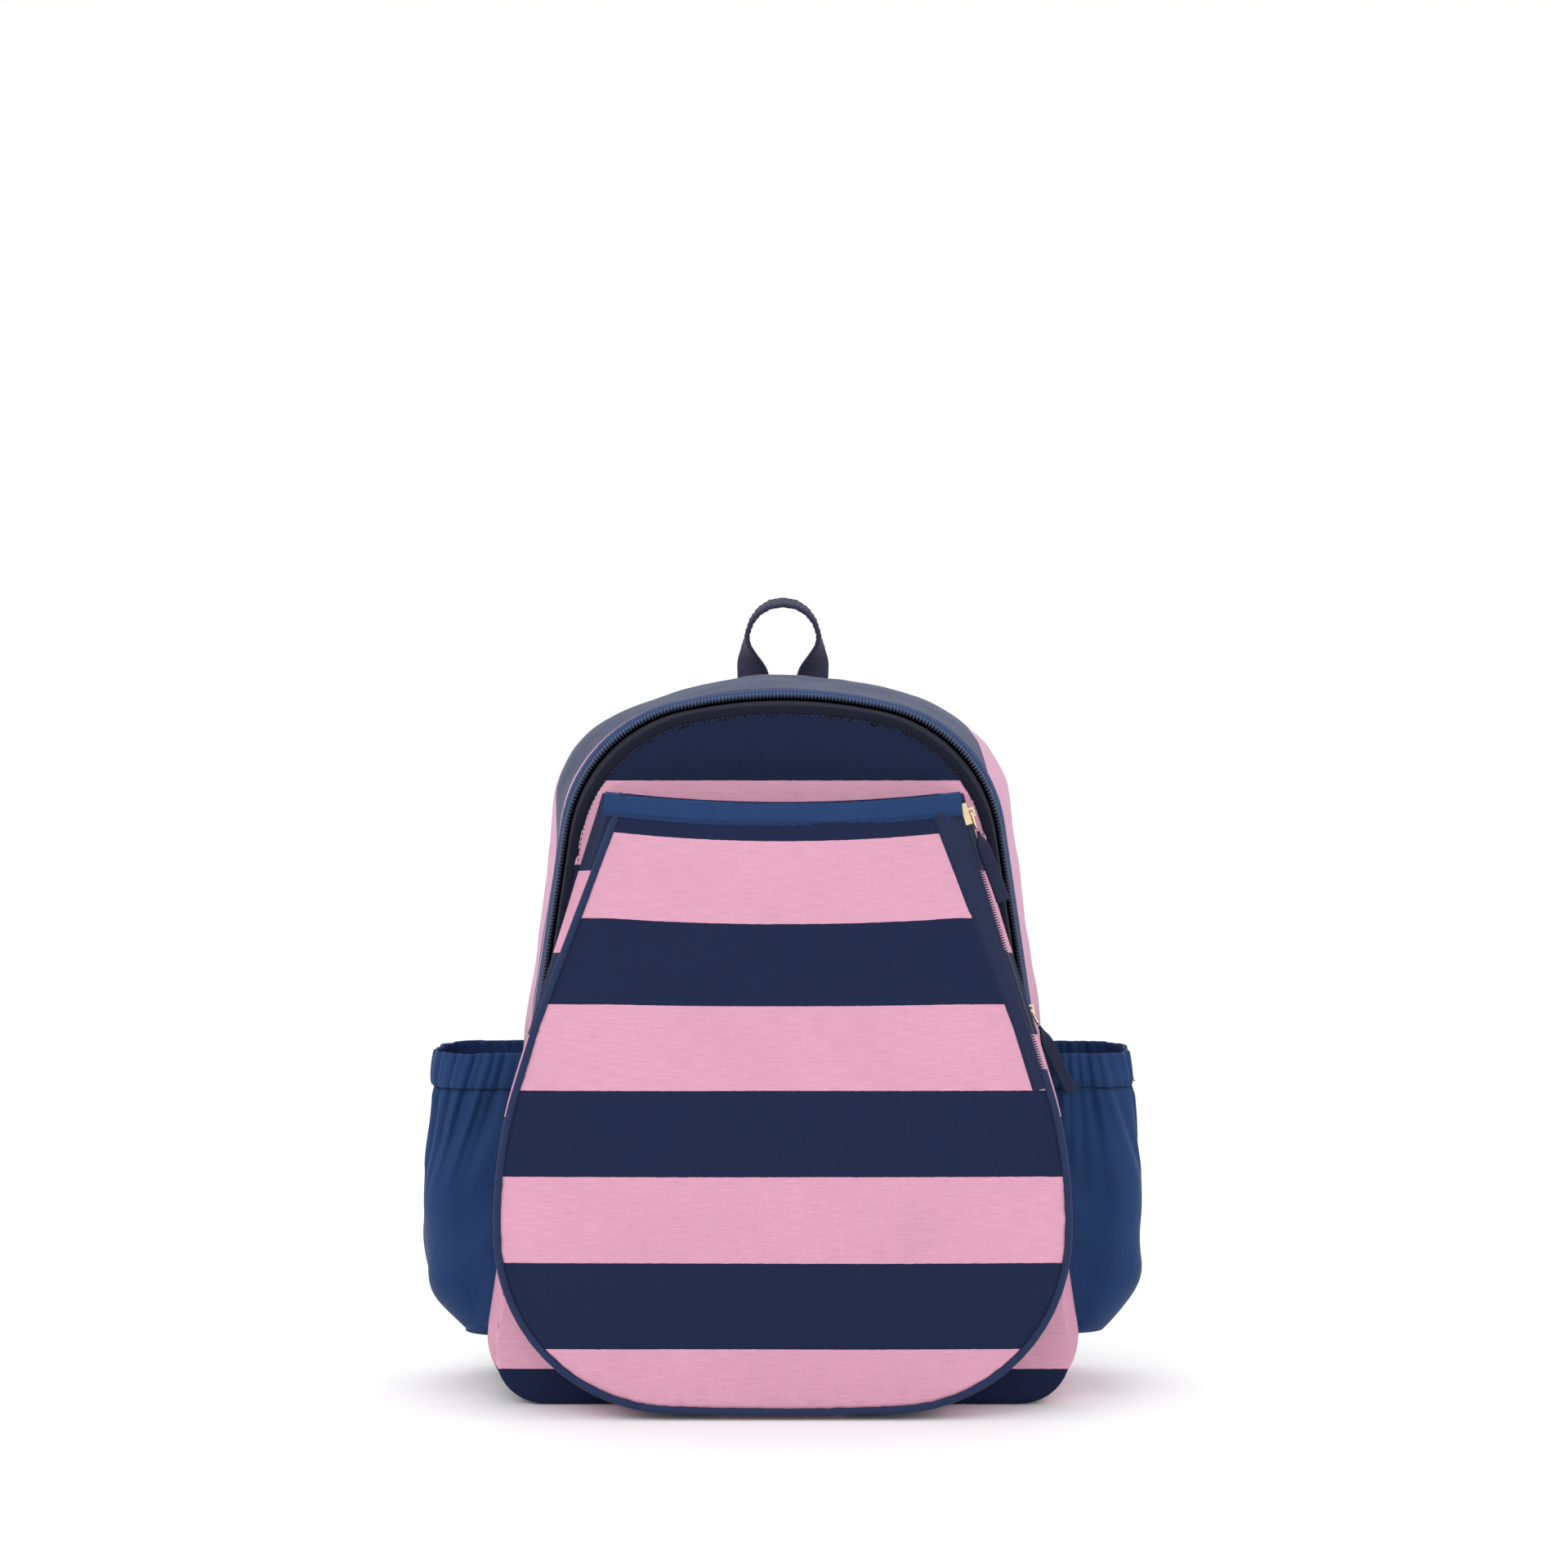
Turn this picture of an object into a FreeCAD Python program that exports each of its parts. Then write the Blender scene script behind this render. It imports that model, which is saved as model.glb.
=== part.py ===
import FreeCAD, Part
import os
from math import sin, tan
import Sketcher

# A small racket backpack, made the way it is sewn: two shaped panels joined by a
# gusset, a zip that lets the front fold down, an open racket pocket on that front,
# two side pockets, a carry loop and a pair of shoulder straps.
# Millimetres. X runs across the pack, the racket pocket looks along -Y, Z is up.
# The origin is on the floor, in the middle of the pack.

DRIVING = {
    "pack_width": 376,
    "pack_height": 445,
    "body_depth": 135,
    "pocket_depth": 50,
    "overall_depth": 240,
    "fabric": 1.6,
    "panel": 3,
    "gusset_bulge": 7,
    "pocket_width": 336,
    "pocket_height": 372,
    "pocket_mouth_width": 204,
    "pocket_flare": 8,
    "piping": 5.6,
    "side_pocket_low": 36,
    "side_pocket_height": 175,
    "side_pocket_reach": 224,
    "hem_height": 22,
    "webbing_width": 25,
    "webbing": 1.8,
    "back_padding": 8,
    "strap_width": 56,
    "strap_thickness": 12,
    "strap_tilt": 13.7,
    "strap_top_half": 52,
    "strap_top_drop": 33,
    "strap_low_height": 37.95,
    "strap_standoff": 13,
    "handle_width": 62,
    "handle_rise": 54,
    "handle_band": 22,
    "coil_width": 2.4,
    "coil_height": 2.2,
    "tape_width": 11,
    "zip_end_height": 44,
    "moving_gap": 0.5,
    "tab_width": 9,
    "tab_length": 46,
}

DERIVED = {
    "pocket_plane": "=-overall_depth / 2 + piping / 2 - fabric / 2",
    "front_plane": "=pocket_plane + pocket_depth",
    "back_plane": "=front_plane + body_depth",
    "front_base_half": "=pack_width * 0.479",
    "front_shoulder_half": "=pack_width * 0.315",
    "front_shoulder_z": "=pack_height * 0.924",
    "front_peak_z": "=pack_height * 0.962",
    "front_shoulder_radius": "=front_shoulder_half * 0.78",
    "front_peak_radius": "=front_shoulder_half * 2.4",
    "back_base_half": "=pack_width * 0.5",
    "back_shoulder_half": "=pack_width * 0.367",
    "back_shoulder_z": "=pack_height * 0.9",
    "back_peak_z": "=pack_height * 1.058",
    "back_shoulder_radius": "=back_shoulder_half * 0.33",
    "back_peak_radius": "=back_shoulder_half * 1.5",
    "base_radius": "=pack_width * 0.08",
    "pocket_side_run": "=pocket_height * 0.574",
    "pocket_slant": "=atan((pocket_width - pocket_mouth_width) / 2 / pocket_side_run)",
    "front_slant": "=atan((front_base_half - front_shoulder_half) / front_shoulder_z)",
    "strap_top_height": "=pack_height - strap_top_drop",
    "strap_length": "=(strap_top_height - strap_low_height) / cos(strap_tilt)",
    "strap_pivot": "=back_plane + strap_standoff",
    "strap_bow": "=overall_depth / 2 - strap_pivot",
    "strap_radius": "=((strap_length / 2) ^ 2 + strap_bow ^ 2) / (2 * strap_bow)",
    "strap_end_angle": "=asin(strap_length / 2 / strap_radius)",
}

doc = FreeCAD.newDocument("RacketBackpack")
sheet = doc.addObject("Spreadsheet::Sheet", "Sizes")
exported = []


def fill_sheet():
    names = {**DRIVING, **DERIVED}
    for row, (name, value) in enumerate(names.items(), start=1):
        sheet.set("A" + str(row), name)
        sheet.set("B" + str(row), str(value))
        sheet.setAlias("B" + str(row), name)
    doc.recompute()


def size(text):
    """The number that an expression on the sheet comes to."""
    result = sheet.evalExpression(text)
    return float(getattr(result, "Value", result))


def keep(item, label=None):
    """Name a finished sub-part and put it on the list to write out."""
    if label:
        item.Label = label
    exported.append(item)
    return item


def new_body(label):
    body = doc.addObject("PartDesign::Body", label)
    body.Label = label
    return body


# --- sketches -------------------------------------------------------------

def new_sketch(body, plane, offset):
    sketch = body.newObject("Sketcher::SketchObject", body.Name + "_sketch")
    planes = {feature.Role: feature for feature in body.Origin.OriginFeatures}
    sketch.AttachmentSupport = [(planes[plane], "")]
    sketch.MapMode = "FlatFace"
    sketch.setExpression("AttachmentOffset.Base.z", offset)
    return sketch


def hold_point(sketch, geometry, end, across, up):
    """Tie one end of a line, or a lone point, to two sheet expressions."""
    for kind, text in (("DistanceX", across), ("DistanceY", up)):
        index = sketch.addConstraint(Sketcher.Constraint(kind, -1, 1, geometry, end, size(text)))
        sketch.setExpression("Constraints[" + str(index) + "]", text)


def corner_arc(before, corner, after, radius):
    """The arc that rounds one corner of an outline."""
    inward = (before - corner).normalize()
    outward = (after - corner).normalize()
    half_angle = inward.getAngle(outward) / 2
    tangent = radius / tan(half_angle)
    to_centre = (inward + outward).normalize()
    crown = corner + to_centre * (radius / sin(half_angle) - radius)
    return Part.Arc(corner + inward * tangent, crown, corner + outward * tangent)


def outline(body, corners, offset, plane="XZ_Plane", closed=True):
    """A sketched outline, listed anticlockwise, with each corner that has a radius rounded."""
    sketch = new_sketch(body, plane, offset)
    points = [FreeCAD.Vector(size(x), size(up), 0) for x, up, radius in corners]
    count = len(points)
    sides = count if closed else count - 1
    arcs = {}
    for index, (x, up, radius) in enumerate(corners):
        if radius:
            before = points[index - 1]
            after = points[(index + 1) % count]
            arcs[index] = corner_arc(before, points[index], after, size(radius))
    for index in range(sides):
        following = (index + 1) % count
        start = arcs[index].EndPoint if index in arcs else points[index]
        end = arcs[following].StartPoint if following in arcs else points[following]
        sketch.addGeometry(Part.LineSegment(start, end), False)
    for index, (x, up, radius) in enumerate(corners):
        leaving = index if index < sides else None
        arriving = (index - 1) % count if closed or index else None
        if index not in arcs:
            if leaving is not None and arriving is not None:
                sketch.addConstraint(Sketcher.Constraint("Coincident", arriving, 2, leaving, 1))
            end = (leaving, 1) if leaving is not None else (arriving, 2)
            hold_point(sketch, end[0], end[1], x, up)
            continue
        curve = sketch.addGeometry(arcs[index], False)
        point = sketch.addGeometry(Part.Point(points[index]), True)
        sketch.addConstraint(Sketcher.Constraint("Tangent", arriving, 2, curve, 1))
        sketch.addConstraint(Sketcher.Constraint("Tangent", curve, 2, leaving, 1))
        sketch.addConstraint(Sketcher.Constraint("PointOnObject", point, 1, arriving))
        sketch.addConstraint(Sketcher.Constraint("PointOnObject", point, 1, leaving))
        hold_point(sketch, point, 1, x, up)
        turn = sketch.addConstraint(Sketcher.Constraint("Radius", curve, size(radius)))
        sketch.setExpression("Constraints[" + str(turn) + "]", radius)
    return sketch


def circle(body, plane, offset, across, up, radius):
    sketch = new_sketch(body, plane, offset)
    centre = FreeCAD.Vector(size(across), size(up), 0)
    sketch.addGeometry(Part.Circle(centre, FreeCAD.Vector(0, 0, 1), size(radius)), False)
    hold_point(sketch, 0, 3, across, up)
    index = sketch.addConstraint(Sketcher.Constraint("Radius", 0, size(radius)))
    sketch.setExpression("Constraints[" + str(index) + "]", radius)
    return sketch


# --- features -------------------------------------------------------------

def pad(body, sketch, length, midplane=False, backwards=False):
    feature = body.newObject("PartDesign::Pad", body.Name + "_pad")
    feature.Profile = sketch
    feature.setExpression("Length", length)
    feature.Midplane = midplane
    feature.Reversed = backwards
    return feature


def pocket(body, sketch, length, midplane=False, backwards=False):
    feature = body.newObject("PartDesign::Pocket", body.Name + "_pocket")
    feature.Profile = sketch
    feature.setExpression("Length", length)
    feature.Midplane = midplane
    feature.Reversed = backwards
    return feature


def loft(body, sketches, kind="PartDesign::AdditiveLoft", ruled=False):
    feature = body.newObject(kind, body.Name + "_loft")
    feature.Profile = sketches[0]
    feature.Sections = sketches[1:]
    feature.Ruled = ruled
    return feature


def both_sides(half):
    """A symmetric outline, from its right half listed from the base up to the middle."""
    left = [("-(" + x + ")", up, radius) for x, up, radius in reversed(half) if x != "0"]
    return half + left


# --- the outlines the whole pack is built on ----------------------------------

def between(front, back, share):
    return "(Sizes." + front + " + (Sizes." + back + " - Sizes." + front + ") * (" + share + "))"


def pack_outline(share, outset, wall="0"):
    """The pack's outline at a share of its depth, 0 at the front and 1 at the back."""
    grow = "(" + outset + " - " + wall + ")"
    peak = between("front_peak_z", "back_peak_z", share) + " + " + grow + " * 1.06"
    shoulder_x = between("front_shoulder_half", "back_shoulder_half", share) + " + " + grow + " * 0.9"
    shoulder_z = between("front_shoulder_z", "back_shoulder_z", share) + " + " + grow + " * 0.75"
    base_x = between("front_base_half", "back_base_half", share) + " + " + grow
    base_z = wall
    peak_radius = between("front_peak_radius", "back_peak_radius", share) + " + " + grow
    shoulder_radius = between("front_shoulder_radius", "back_shoulder_radius", share) + " + " + grow
    return both_sides([
        (base_x, base_z, "Sizes.base_radius + " + grow),
        (shoulder_x, shoulder_z, shoulder_radius),
        ("0", peak, peak_radius),
    ])


def pocket_outline(outset, wall="0"):
    """The racket pocket's outline, narrow at its mouth and round at its base.

    The base moves out with the sides only as far as keeps it off the floor.
    """
    grow = "(" + outset + " - " + wall + ")"
    mouth = "Sizes.pocket_mouth_width / 2 + " + grow
    side = "Sizes.pocket_width / 2 + " + grow
    low = "Sizes.piping - min(" + outset + "; Sizes.piping * 0.8) + " + wall
    return both_sides([
        ("0", low, "Sizes.pocket_width * 4.5"),
        (side, low + " + Sizes.pocket_width * 0.015", "Sizes.pocket_width * 0.31"),
        (side, "Sizes.pocket_height - Sizes.pocket_side_run", "Sizes.pocket_width * 0.8"),
        (mouth, "Sizes.pocket_height", None),
    ])


def at_depth(share):
    """The offset of a sketch plane at a share of the pack's depth."""
    return "-(Sizes.front_plane + Sizes.body_depth * (" + share + "))"


def ring(label, shares, outsets, wall):
    """A band of fabric that follows the pack's outline between shares of its depth."""
    body = new_body(label)
    sections = [outline(body, pack_outline(share, outset), at_depth(share))
                for share, outset in zip(shares, outsets)]
    loft(body, sections, ruled=True)
    inner = [outline(body, pack_outline(share, outset, wall), at_depth(share))
             for share, outset in zip(shares, outsets)]
    loft(body, inner, "PartDesign::SubtractiveLoft", ruled=True)
    return body


# --- cutting bands into the pieces they are sewn from ---------------------------

def block(name, low, high):
    """A plain block used only to cut with, given by two corners."""
    box = doc.addObject("Part::Box", name)
    for prop, axis, start, end in zip(("Length", "Width", "Height"), "xyz", low, high):
        box.setExpression(prop, "(" + end + ") - (" + start + ")")
        box.setExpression("Placement.Base." + axis, start)
    return box


def combine(kind, label, base, tool):
    feature = doc.addObject("Part::" + kind, label)
    feature.Base = base
    feature.Tool = tool
    return feature


WIDE = "Sizes.pack_width"
TALL = "Sizes.pack_height * 1.5"


def piece_of(label, base, low, high):
    """The part of a band that lies inside a block."""
    return keep(combine("Common", label, base, block(label + "_block", low, high)), label)


def mirrored(label, source):
    """The same piece on the wearer's other side."""
    feature = doc.addObject("Part::Mirroring", label)
    feature.Source = source
    feature.Base = FreeCAD.Vector(0, 0, 0)
    feature.Normal = FreeCAD.Vector(1, 0, 0)
    return keep(feature, label)


# --- the pack's own shell -------------------------------------------------------

def panels():
    back = new_body("back_panel")
    pad(back, outline(back, pack_outline("1", "0"), at_depth("1")), "Sizes.panel")
    keep(back)

    front = new_body("front_panel")
    pad(front, outline(front, pack_outline("0", "0"), at_depth("0")), "Sizes.fabric", backwards=True)
    keep(front)

    lining = new_body("front_lining")
    offset = at_depth("0") + " - Sizes.fabric"
    pad(lining, outline(lining, pack_outline("0", "0", "6"), offset), "Sizes.panel", backwards=True)
    keep(lining)


GUSSET_SHARES = ("0.2", "0.6", "1 - Sizes.panel / Sizes.body_depth")
GUSSET_OUTSETS = ("1", "Sizes.gusset_bulge", "0")


def gussets():
    """The band round the body: dark over the top, light down the sides, dark under the base."""
    bulged = ring("gusset_band", GUSSET_SHARES, GUSSET_OUTSETS, "Sizes.fabric")
    spread = "Sizes.back_shoulder_half * 0.72"
    near = "Sizes.front_plane - 10"
    far = "Sizes.back_plane + 10"
    low = "Sizes.zip_end_height * 0.5"
    piece_of("top_gusset", bulged, ("-" + spread, near, "Sizes.pack_height * 0.6"), (spread, far, TALL))
    piece_of("right_gusset", bulged, (spread, near, low), (WIDE, far, TALL))
    piece_of("left_gusset", bulged, ("-" + WIDE, near, low), ("-" + spread, far, TALL))
    piece_of("bottom_gusset", bulged, ("-" + WIDE, near, "-20"), (WIDE, far, low))
    sill = ring("sill_band", ("0.02", "0.2"), ("0", "1"), "Sizes.fabric")
    piece_of("bottom_sill", sill, ("-" + WIDE, near, "-20"),
             (WIDE, far, "Sizes.zip_end_height - Sizes.moving_gap"))


def base_board():
    board = new_body("base_board")
    half = "Sizes.front_base_half - Sizes.base_radius * 1.1"
    near = "Sizes.front_plane + 14"
    far = "Sizes.back_plane - 12"
    corners = [(half, near, "12"), (half, far, "12"), ("-(" + half + ")", far, "12"),
               ("-(" + half + ")", near, "12")]
    pad(board, outline(board, corners, "Sizes.fabric + 0.4", "XY_Plane"), "2.4")
    keep(board)


def back_padding():
    """The padded, quilted area that lies on the wearer's back."""
    padding = new_body("back_padding")
    top = "Sizes.pack_height * 0.78"
    half = "Sizes.pack_width * 0.29"
    corners = both_sides([
        (half + " * 1.1", "Sizes.pack_height * 0.15", "30"),
        (half + " * 0.9", top, "30"),
    ])
    pad(padding, outline(padding, corners, at_depth("1")), "Sizes.back_padding", backwards=True)
    keep(padding)


# --- the main zip ------------------------------------------------------------------

def zip_band(label, start, end, outset, wall):
    """One strip of the main zip, stopping at the zip's two ends."""
    band = ring(label + "_band", (start, end), (outset, outset), wall)
    piece_of(label, band, ("-" + WIDE, "Sizes.pocket_plane", "Sizes.zip_end_height"),
             (WIDE, "Sizes.back_plane", TALL))


def main_zip():
    depth = "Sizes.body_depth"
    tape = "Sizes.tape_width / " + depth
    coil = "Sizes.coil_width / " + depth
    gap = "Sizes.moving_gap / " + depth
    hem = "Sizes.fabric * 1.2 / " + depth
    first = hem + " + " + tape
    middle = first + " + " + coil
    other = middle + " + " + gap
    last = other + " + " + coil
    zip_band("flap_zip_tape", hem, first, "0", "1.2")
    zip_band("flap_zip_coil", first, middle, "1.4", "Sizes.coil_height")
    zip_band("body_zip_coil", other, last, "1.4", "Sizes.coil_height")
    zip_band("body_zip_tape", last, "0.2", "0", "1.2")


# --- the racket pocket on the front --------------------------------------------------

def racket_pocket():
    front = new_body("pocket_front")
    pad(front, outline(front, pocket_outline("0"), "-Sizes.pocket_plane - Sizes.fabric"), "Sizes.fabric")
    keep(front)

    wall = new_body("pocket_wall")
    depths = ("-Sizes.pocket_plane - Sizes.fabric", "-Sizes.pocket_plane - Sizes.pocket_depth * 0.5",
              "-Sizes.front_plane")
    flares = ("0", "0", "Sizes.pocket_flare")
    loft(wall, [outline(wall, pocket_outline(flare), depth) for depth, flare in zip(depths, flares)],
         ruled=True)
    inner = [outline(wall, pocket_outline(flare, "Sizes.fabric"), depth)
             for depth, flare in zip(depths, flares)]
    loft(wall, inner, "PartDesign::SubtractiveLoft", ruled=True)

    near = "Sizes.pocket_plane"
    far = "Sizes.front_plane"
    turn = "Sizes.pocket_width * 0.2"
    top = "Sizes.pocket_height - Sizes.fabric"
    right = piece_of("pocket_right_gusset", wall, (turn, near, "-40"), (WIDE, far, top))
    mirrored("pocket_left_gusset", right)
    piece_of("pocket_bottom_gusset", wall, ("-" + turn, near, "-40"), (turn, far, "80"))


def pocket_trim():
    rim = pocket_outline("Sizes.piping / 2")
    path = rim[4:] + rim[:4]
    offset = "-Sizes.pocket_plane - Sizes.fabric / 2"
    piping = new_body("pocket_piping")
    cord = outline(piping, path, offset, closed=False)
    profile = circle(piping, "XY_Plane", "Sizes.pocket_height", path[0][0], "-(" + offset + ")",
                     "Sizes.piping / 2")
    sweep = piping.newObject("PartDesign::AdditivePipe", "piping_sweep")
    sweep.Profile = profile
    sweep.Spine = (cord, [])
    keep(piping)

    binding = new_body("pocket_mouth_binding")
    half = "Sizes.pocket_mouth_width / 2"
    top = "Sizes.pocket_height"
    low = top + " - Sizes.hem_height * 0.6"
    corners = both_sides([(half, low, None), (half, top, None)])
    pad(binding, outline(binding, corners, "-Sizes.pocket_plane"), "Sizes.fabric * 0.7")
    keep(binding)


def side_pocket():
    """A gathered pocket for a bottle, open at the top and flared at the hem."""
    low = "Sizes.side_pocket_low"
    tall = "Sizes.side_pocket_height"
    reach = "Sizes.side_pocket_reach"
    half_depth = "Sizes.body_depth * 0.385"
    middle = "Sizes.front_plane + Sizes.body_depth * 0.59"
    inside = "Sizes.pack_width * 0.36"
    levels = (("0", "0.885", "0.8"), ("0.12", "0.96", "0.9"), ("0.35", "1", "1"),
              ("0.6", "1", "1"), ("1", "0.966", "0.96"))

    def section(body, level, wall):
        share, width, depth = level
        side = reach + " * " + width + " - " + wall
        span = half_depth + " * " + depth + " - " + wall
        corners = [(inside, middle + " - (" + span + ")", None), (side, middle + " - (" + span + ")", "22"),
                   (side, middle + " + (" + span + ")", "22"), (inside, middle + " + (" + span + ")", None)]
        return outline(body, corners, low + " + " + tall + " * " + share, "XY_Plane")

    cup = new_body("side_pocket_cup")
    loft(cup, [section(cup, level, "0") for level in levels], ruled=True)
    floor = (("0.015",) + levels[0][1:],)
    rim = (("1.001",) + levels[-1][1:],)
    hollow = [section(cup, level, "Sizes.fabric") for level in floor + levels[1:-1] + rim]
    loft(cup, hollow, "PartDesign::SubtractiveLoft", ruled=True)

    envelope = new_body("pack_envelope")
    shares = ("0",) + GUSSET_SHARES + ("1",)
    outsets = ("0",) + GUSSET_OUTSETS + ("0",)
    sections = [outline(envelope, pack_outline(share, outset), at_depth(share))
                for share, outset in zip(shares, outsets)]
    loft(envelope, sections, ruled=True)
    shell = combine("Cut", "side_pocket_shell", cup, envelope)
    hem_low = low + " + " + tall + " - Sizes.hem_height"
    near = "Sizes.front_plane"
    far = "Sizes.back_plane"
    right = piece_of("right_side_pocket", shell, ("0", near, "0"), (WIDE, far, hem_low))
    hem = piece_of("right_pocket_hem", shell, ("0", near, hem_low), (WIDE, far, TALL))
    mirrored("left_side_pocket", right)
    mirrored("left_pocket_hem", hem)


# --- small parts that sit on a slanted side ------------------------------------------

class Slope:
    """A straight stretch of seam: u runs down along it, v across it, w out from it."""

    def __init__(self, x, y, z, slant):
        self.origin = (x, y, z)
        self.slant = slant

    def spot(self, u, v, w):
        lean = "sin(" + self.slant + ")"
        drop = "cos(" + self.slant + ")"
        x, y, z = self.origin
        return (x + " + (" + u + ") * " + lean + " + (" + w + ") * " + drop,
                y + " + " + v,
                z + " - (" + u + ") * " + drop + " + (" + w + ") * " + lean)

    def seat(self, item, u="0", v="0", w="0", lift="0 deg"):
        """Put an item at a spot on the slope, turned with it and lifted off it by an angle."""
        turned = FreeCAD.Rotation(FreeCAD.Vector(0, 1, 0), 45)
        item.Placement = FreeCAD.Placement(FreeCAD.Vector(0, 0, 0), turned)
        item.setExpression("Placement.Rotation.Angle", "90 deg - " + self.slant + " - (" + lift + ")")
        for axis, text in zip("xyz", self.spot(u, v, w)):
            item.setExpression("Placement.Base." + axis, text)


def strip(label, slope, low, high):
    """A flat strip on a slope, given by its two corners in u, v, w."""
    box = doc.addObject("Part::Box", label)
    for prop, start, end in zip(("Length", "Width", "Height"), low, high):
        box.setExpression(prop, "(" + end + ") - (" + start + ")")
    slope.seat(box, *low)
    return keep(box, label)


def rectangle(low, high):
    return [(low[0], low[1], None), (high[0], low[1], None), (high[0], high[1], None),
            (low[0], high[1], None)]


def zip_slider(label, slope, u, v, w, channel):
    """The metal slider: a body that straddles the coil and an arch that holds the ring."""
    body = new_body(label)
    gap = "Sizes.moving_gap"
    half = "(" + channel + " / 2 + " + gap + ")"
    floor = "Sizes.coil_height + " + gap
    crown = floor + " + 1.6"
    block = outline(body, rectangle(("-6.5", "-" + half + " - 1.4"), ("6.5", half + " + 1.4")), gap,
                    "XY_Plane")
    pad(body, block, crown + " - " + gap)
    groove = outline(body, rectangle(("-7", "-" + half), ("7", half)), "0", "XY_Plane")
    pocket(body, groove, floor, backwards=True)
    arch = outline(body, rectangle(("-2.9", crown + " - 0.1"), ("2.9", crown + " + 3.6")), "0")
    pad(body, arch, "2", midplane=True)
    eye = outline(body, rectangle(("-1.7", crown), ("1.7", crown + " + 2.6")), "0")
    pocket(body, eye, "4", midplane=True)
    slope.seat(body, u, v, w)
    return keep(body)


def zip_puller(name, slope, u, v, w, lift):
    """The wire ring and the folded fabric tab that hang from a slider's arch."""
    ring_radius = "5"
    wire = "0.7"
    up = "(" + w + " + Sizes.coil_height + Sizes.moving_gap + 1.6 + 1.3)"
    reach = "(cos(" + lift + "))"
    rise = "(sin(" + lift + "))"

    hoop = doc.addObject("Part::Torus", name + "_pull_ring")
    hoop.setExpression("Radius1", ring_radius)
    hoop.setExpression("Radius2", wire)
    slope.seat(hoop, u + " + 5 * " + reach, v, up + " + 5 * " + rise, lift)
    keep(hoop, name + "_pull_ring")

    tab = new_body(name + "_pull_tab")
    half = "Sizes.tab_width / 2"
    start = "10.9"
    end = "10.9 + Sizes.tab_length"
    corners = [(start, "-" + half, None), (end, "-" + half, "1.5"), (end, half, "1.5"),
               (start, half, None)]
    pad(tab, outline(tab, corners, "0", "XY_Plane"), "2.4", midplane=True)
    slope.seat(tab, u, v, up, lift)
    keep(tab)


def pocket_zip():
    """The zip that opens the racket pocket down its right side."""
    slope = Slope("Sizes.pocket_mouth_width / 2", "Sizes.pocket_plane + Sizes.fabric + 13",
                  "Sizes.pocket_height", "Sizes.pocket_slant")
    end = "Sizes.pocket_side_run * 0.86"
    strip("pocket_zip_tape", slope, ("2", "-9", "0.1"), (end, "9", "1.1"))
    strip("pocket_zip_coil", slope, ("3", "-2.5", "1.1"), (end + " - 3", "2.5", "1.1 + Sizes.coil_height"))
    slider_at = "14"
    zip_slider("pocket_slider", slope, slider_at, "0", "1.1", "5")
    zip_puller("pocket", slope, slider_at, "0", "1.1", "0 deg")


def main_slider():
    """The slider that is seen on the main zip, part of the way down its right side."""
    seam = "Sizes.fabric * 1.2 + Sizes.tape_width + Sizes.coil_width + Sizes.moving_gap / 2"
    share = "((" + seam + ") / Sizes.body_depth)"
    base = between("front_base_half", "back_base_half", share)
    shoulder = between("front_shoulder_half", "back_shoulder_half", share)
    top = between("front_shoulder_z", "back_shoulder_z", share)
    slope = Slope(shoulder, "Sizes.front_plane + " + seam, top, "Sizes.front_slant")
    down = "Sizes.pack_height * 0.39"
    zip_slider("main_slider", slope, down, "0", "0.2", "(Sizes.coil_width * 2 + Sizes.moving_gap)")
    zip_puller("main", slope, down, "0", "0.2", "18 deg")


# --- shoulder straps and the carry loop ------------------------------------------------

STRAP_TOP = ("Sizes.strap_top_half", "Sizes.strap_pivot", "Sizes.strap_top_height")


def seat_on_strap(item, y="0", z="0", x="0"):
    """Put an item on the leaning line that the right strap hangs along."""
    turned = FreeCAD.Rotation(FreeCAD.Vector(0, -1, 0), 45)
    item.Placement = FreeCAD.Placement(FreeCAD.Vector(0, 0, 0), turned)
    item.setExpression("Placement.Rotation.Angle", "Sizes.strap_tilt * 1 deg")
    lean = "sin(Sizes.strap_tilt)"
    drop = "cos(Sizes.strap_tilt)"
    place_x = STRAP_TOP[0] + " - (" + z + ") * " + lean + " + (" + x + ") * " + drop
    place_z = STRAP_TOP[2] + " + (" + z + ") * " + drop + " + (" + x + ") * " + lean
    item.setExpression("Placement.Base.x", place_x)
    item.setExpression("Placement.Base.y", STRAP_TOP[1] + " + (" + y + ")")
    item.setExpression("Placement.Base.z", place_z)


def bow_point(radius, angle):
    """A point on the strap's bow, as seen from the side: y out from the back, z up."""
    return ("Sizes.strap_bow - Sizes.strap_radius + (" + radius + ") * cos(" + angle + ")",
            "-Sizes.strap_length / 2 + (" + radius + ") * sin(" + angle + ")")


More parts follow.
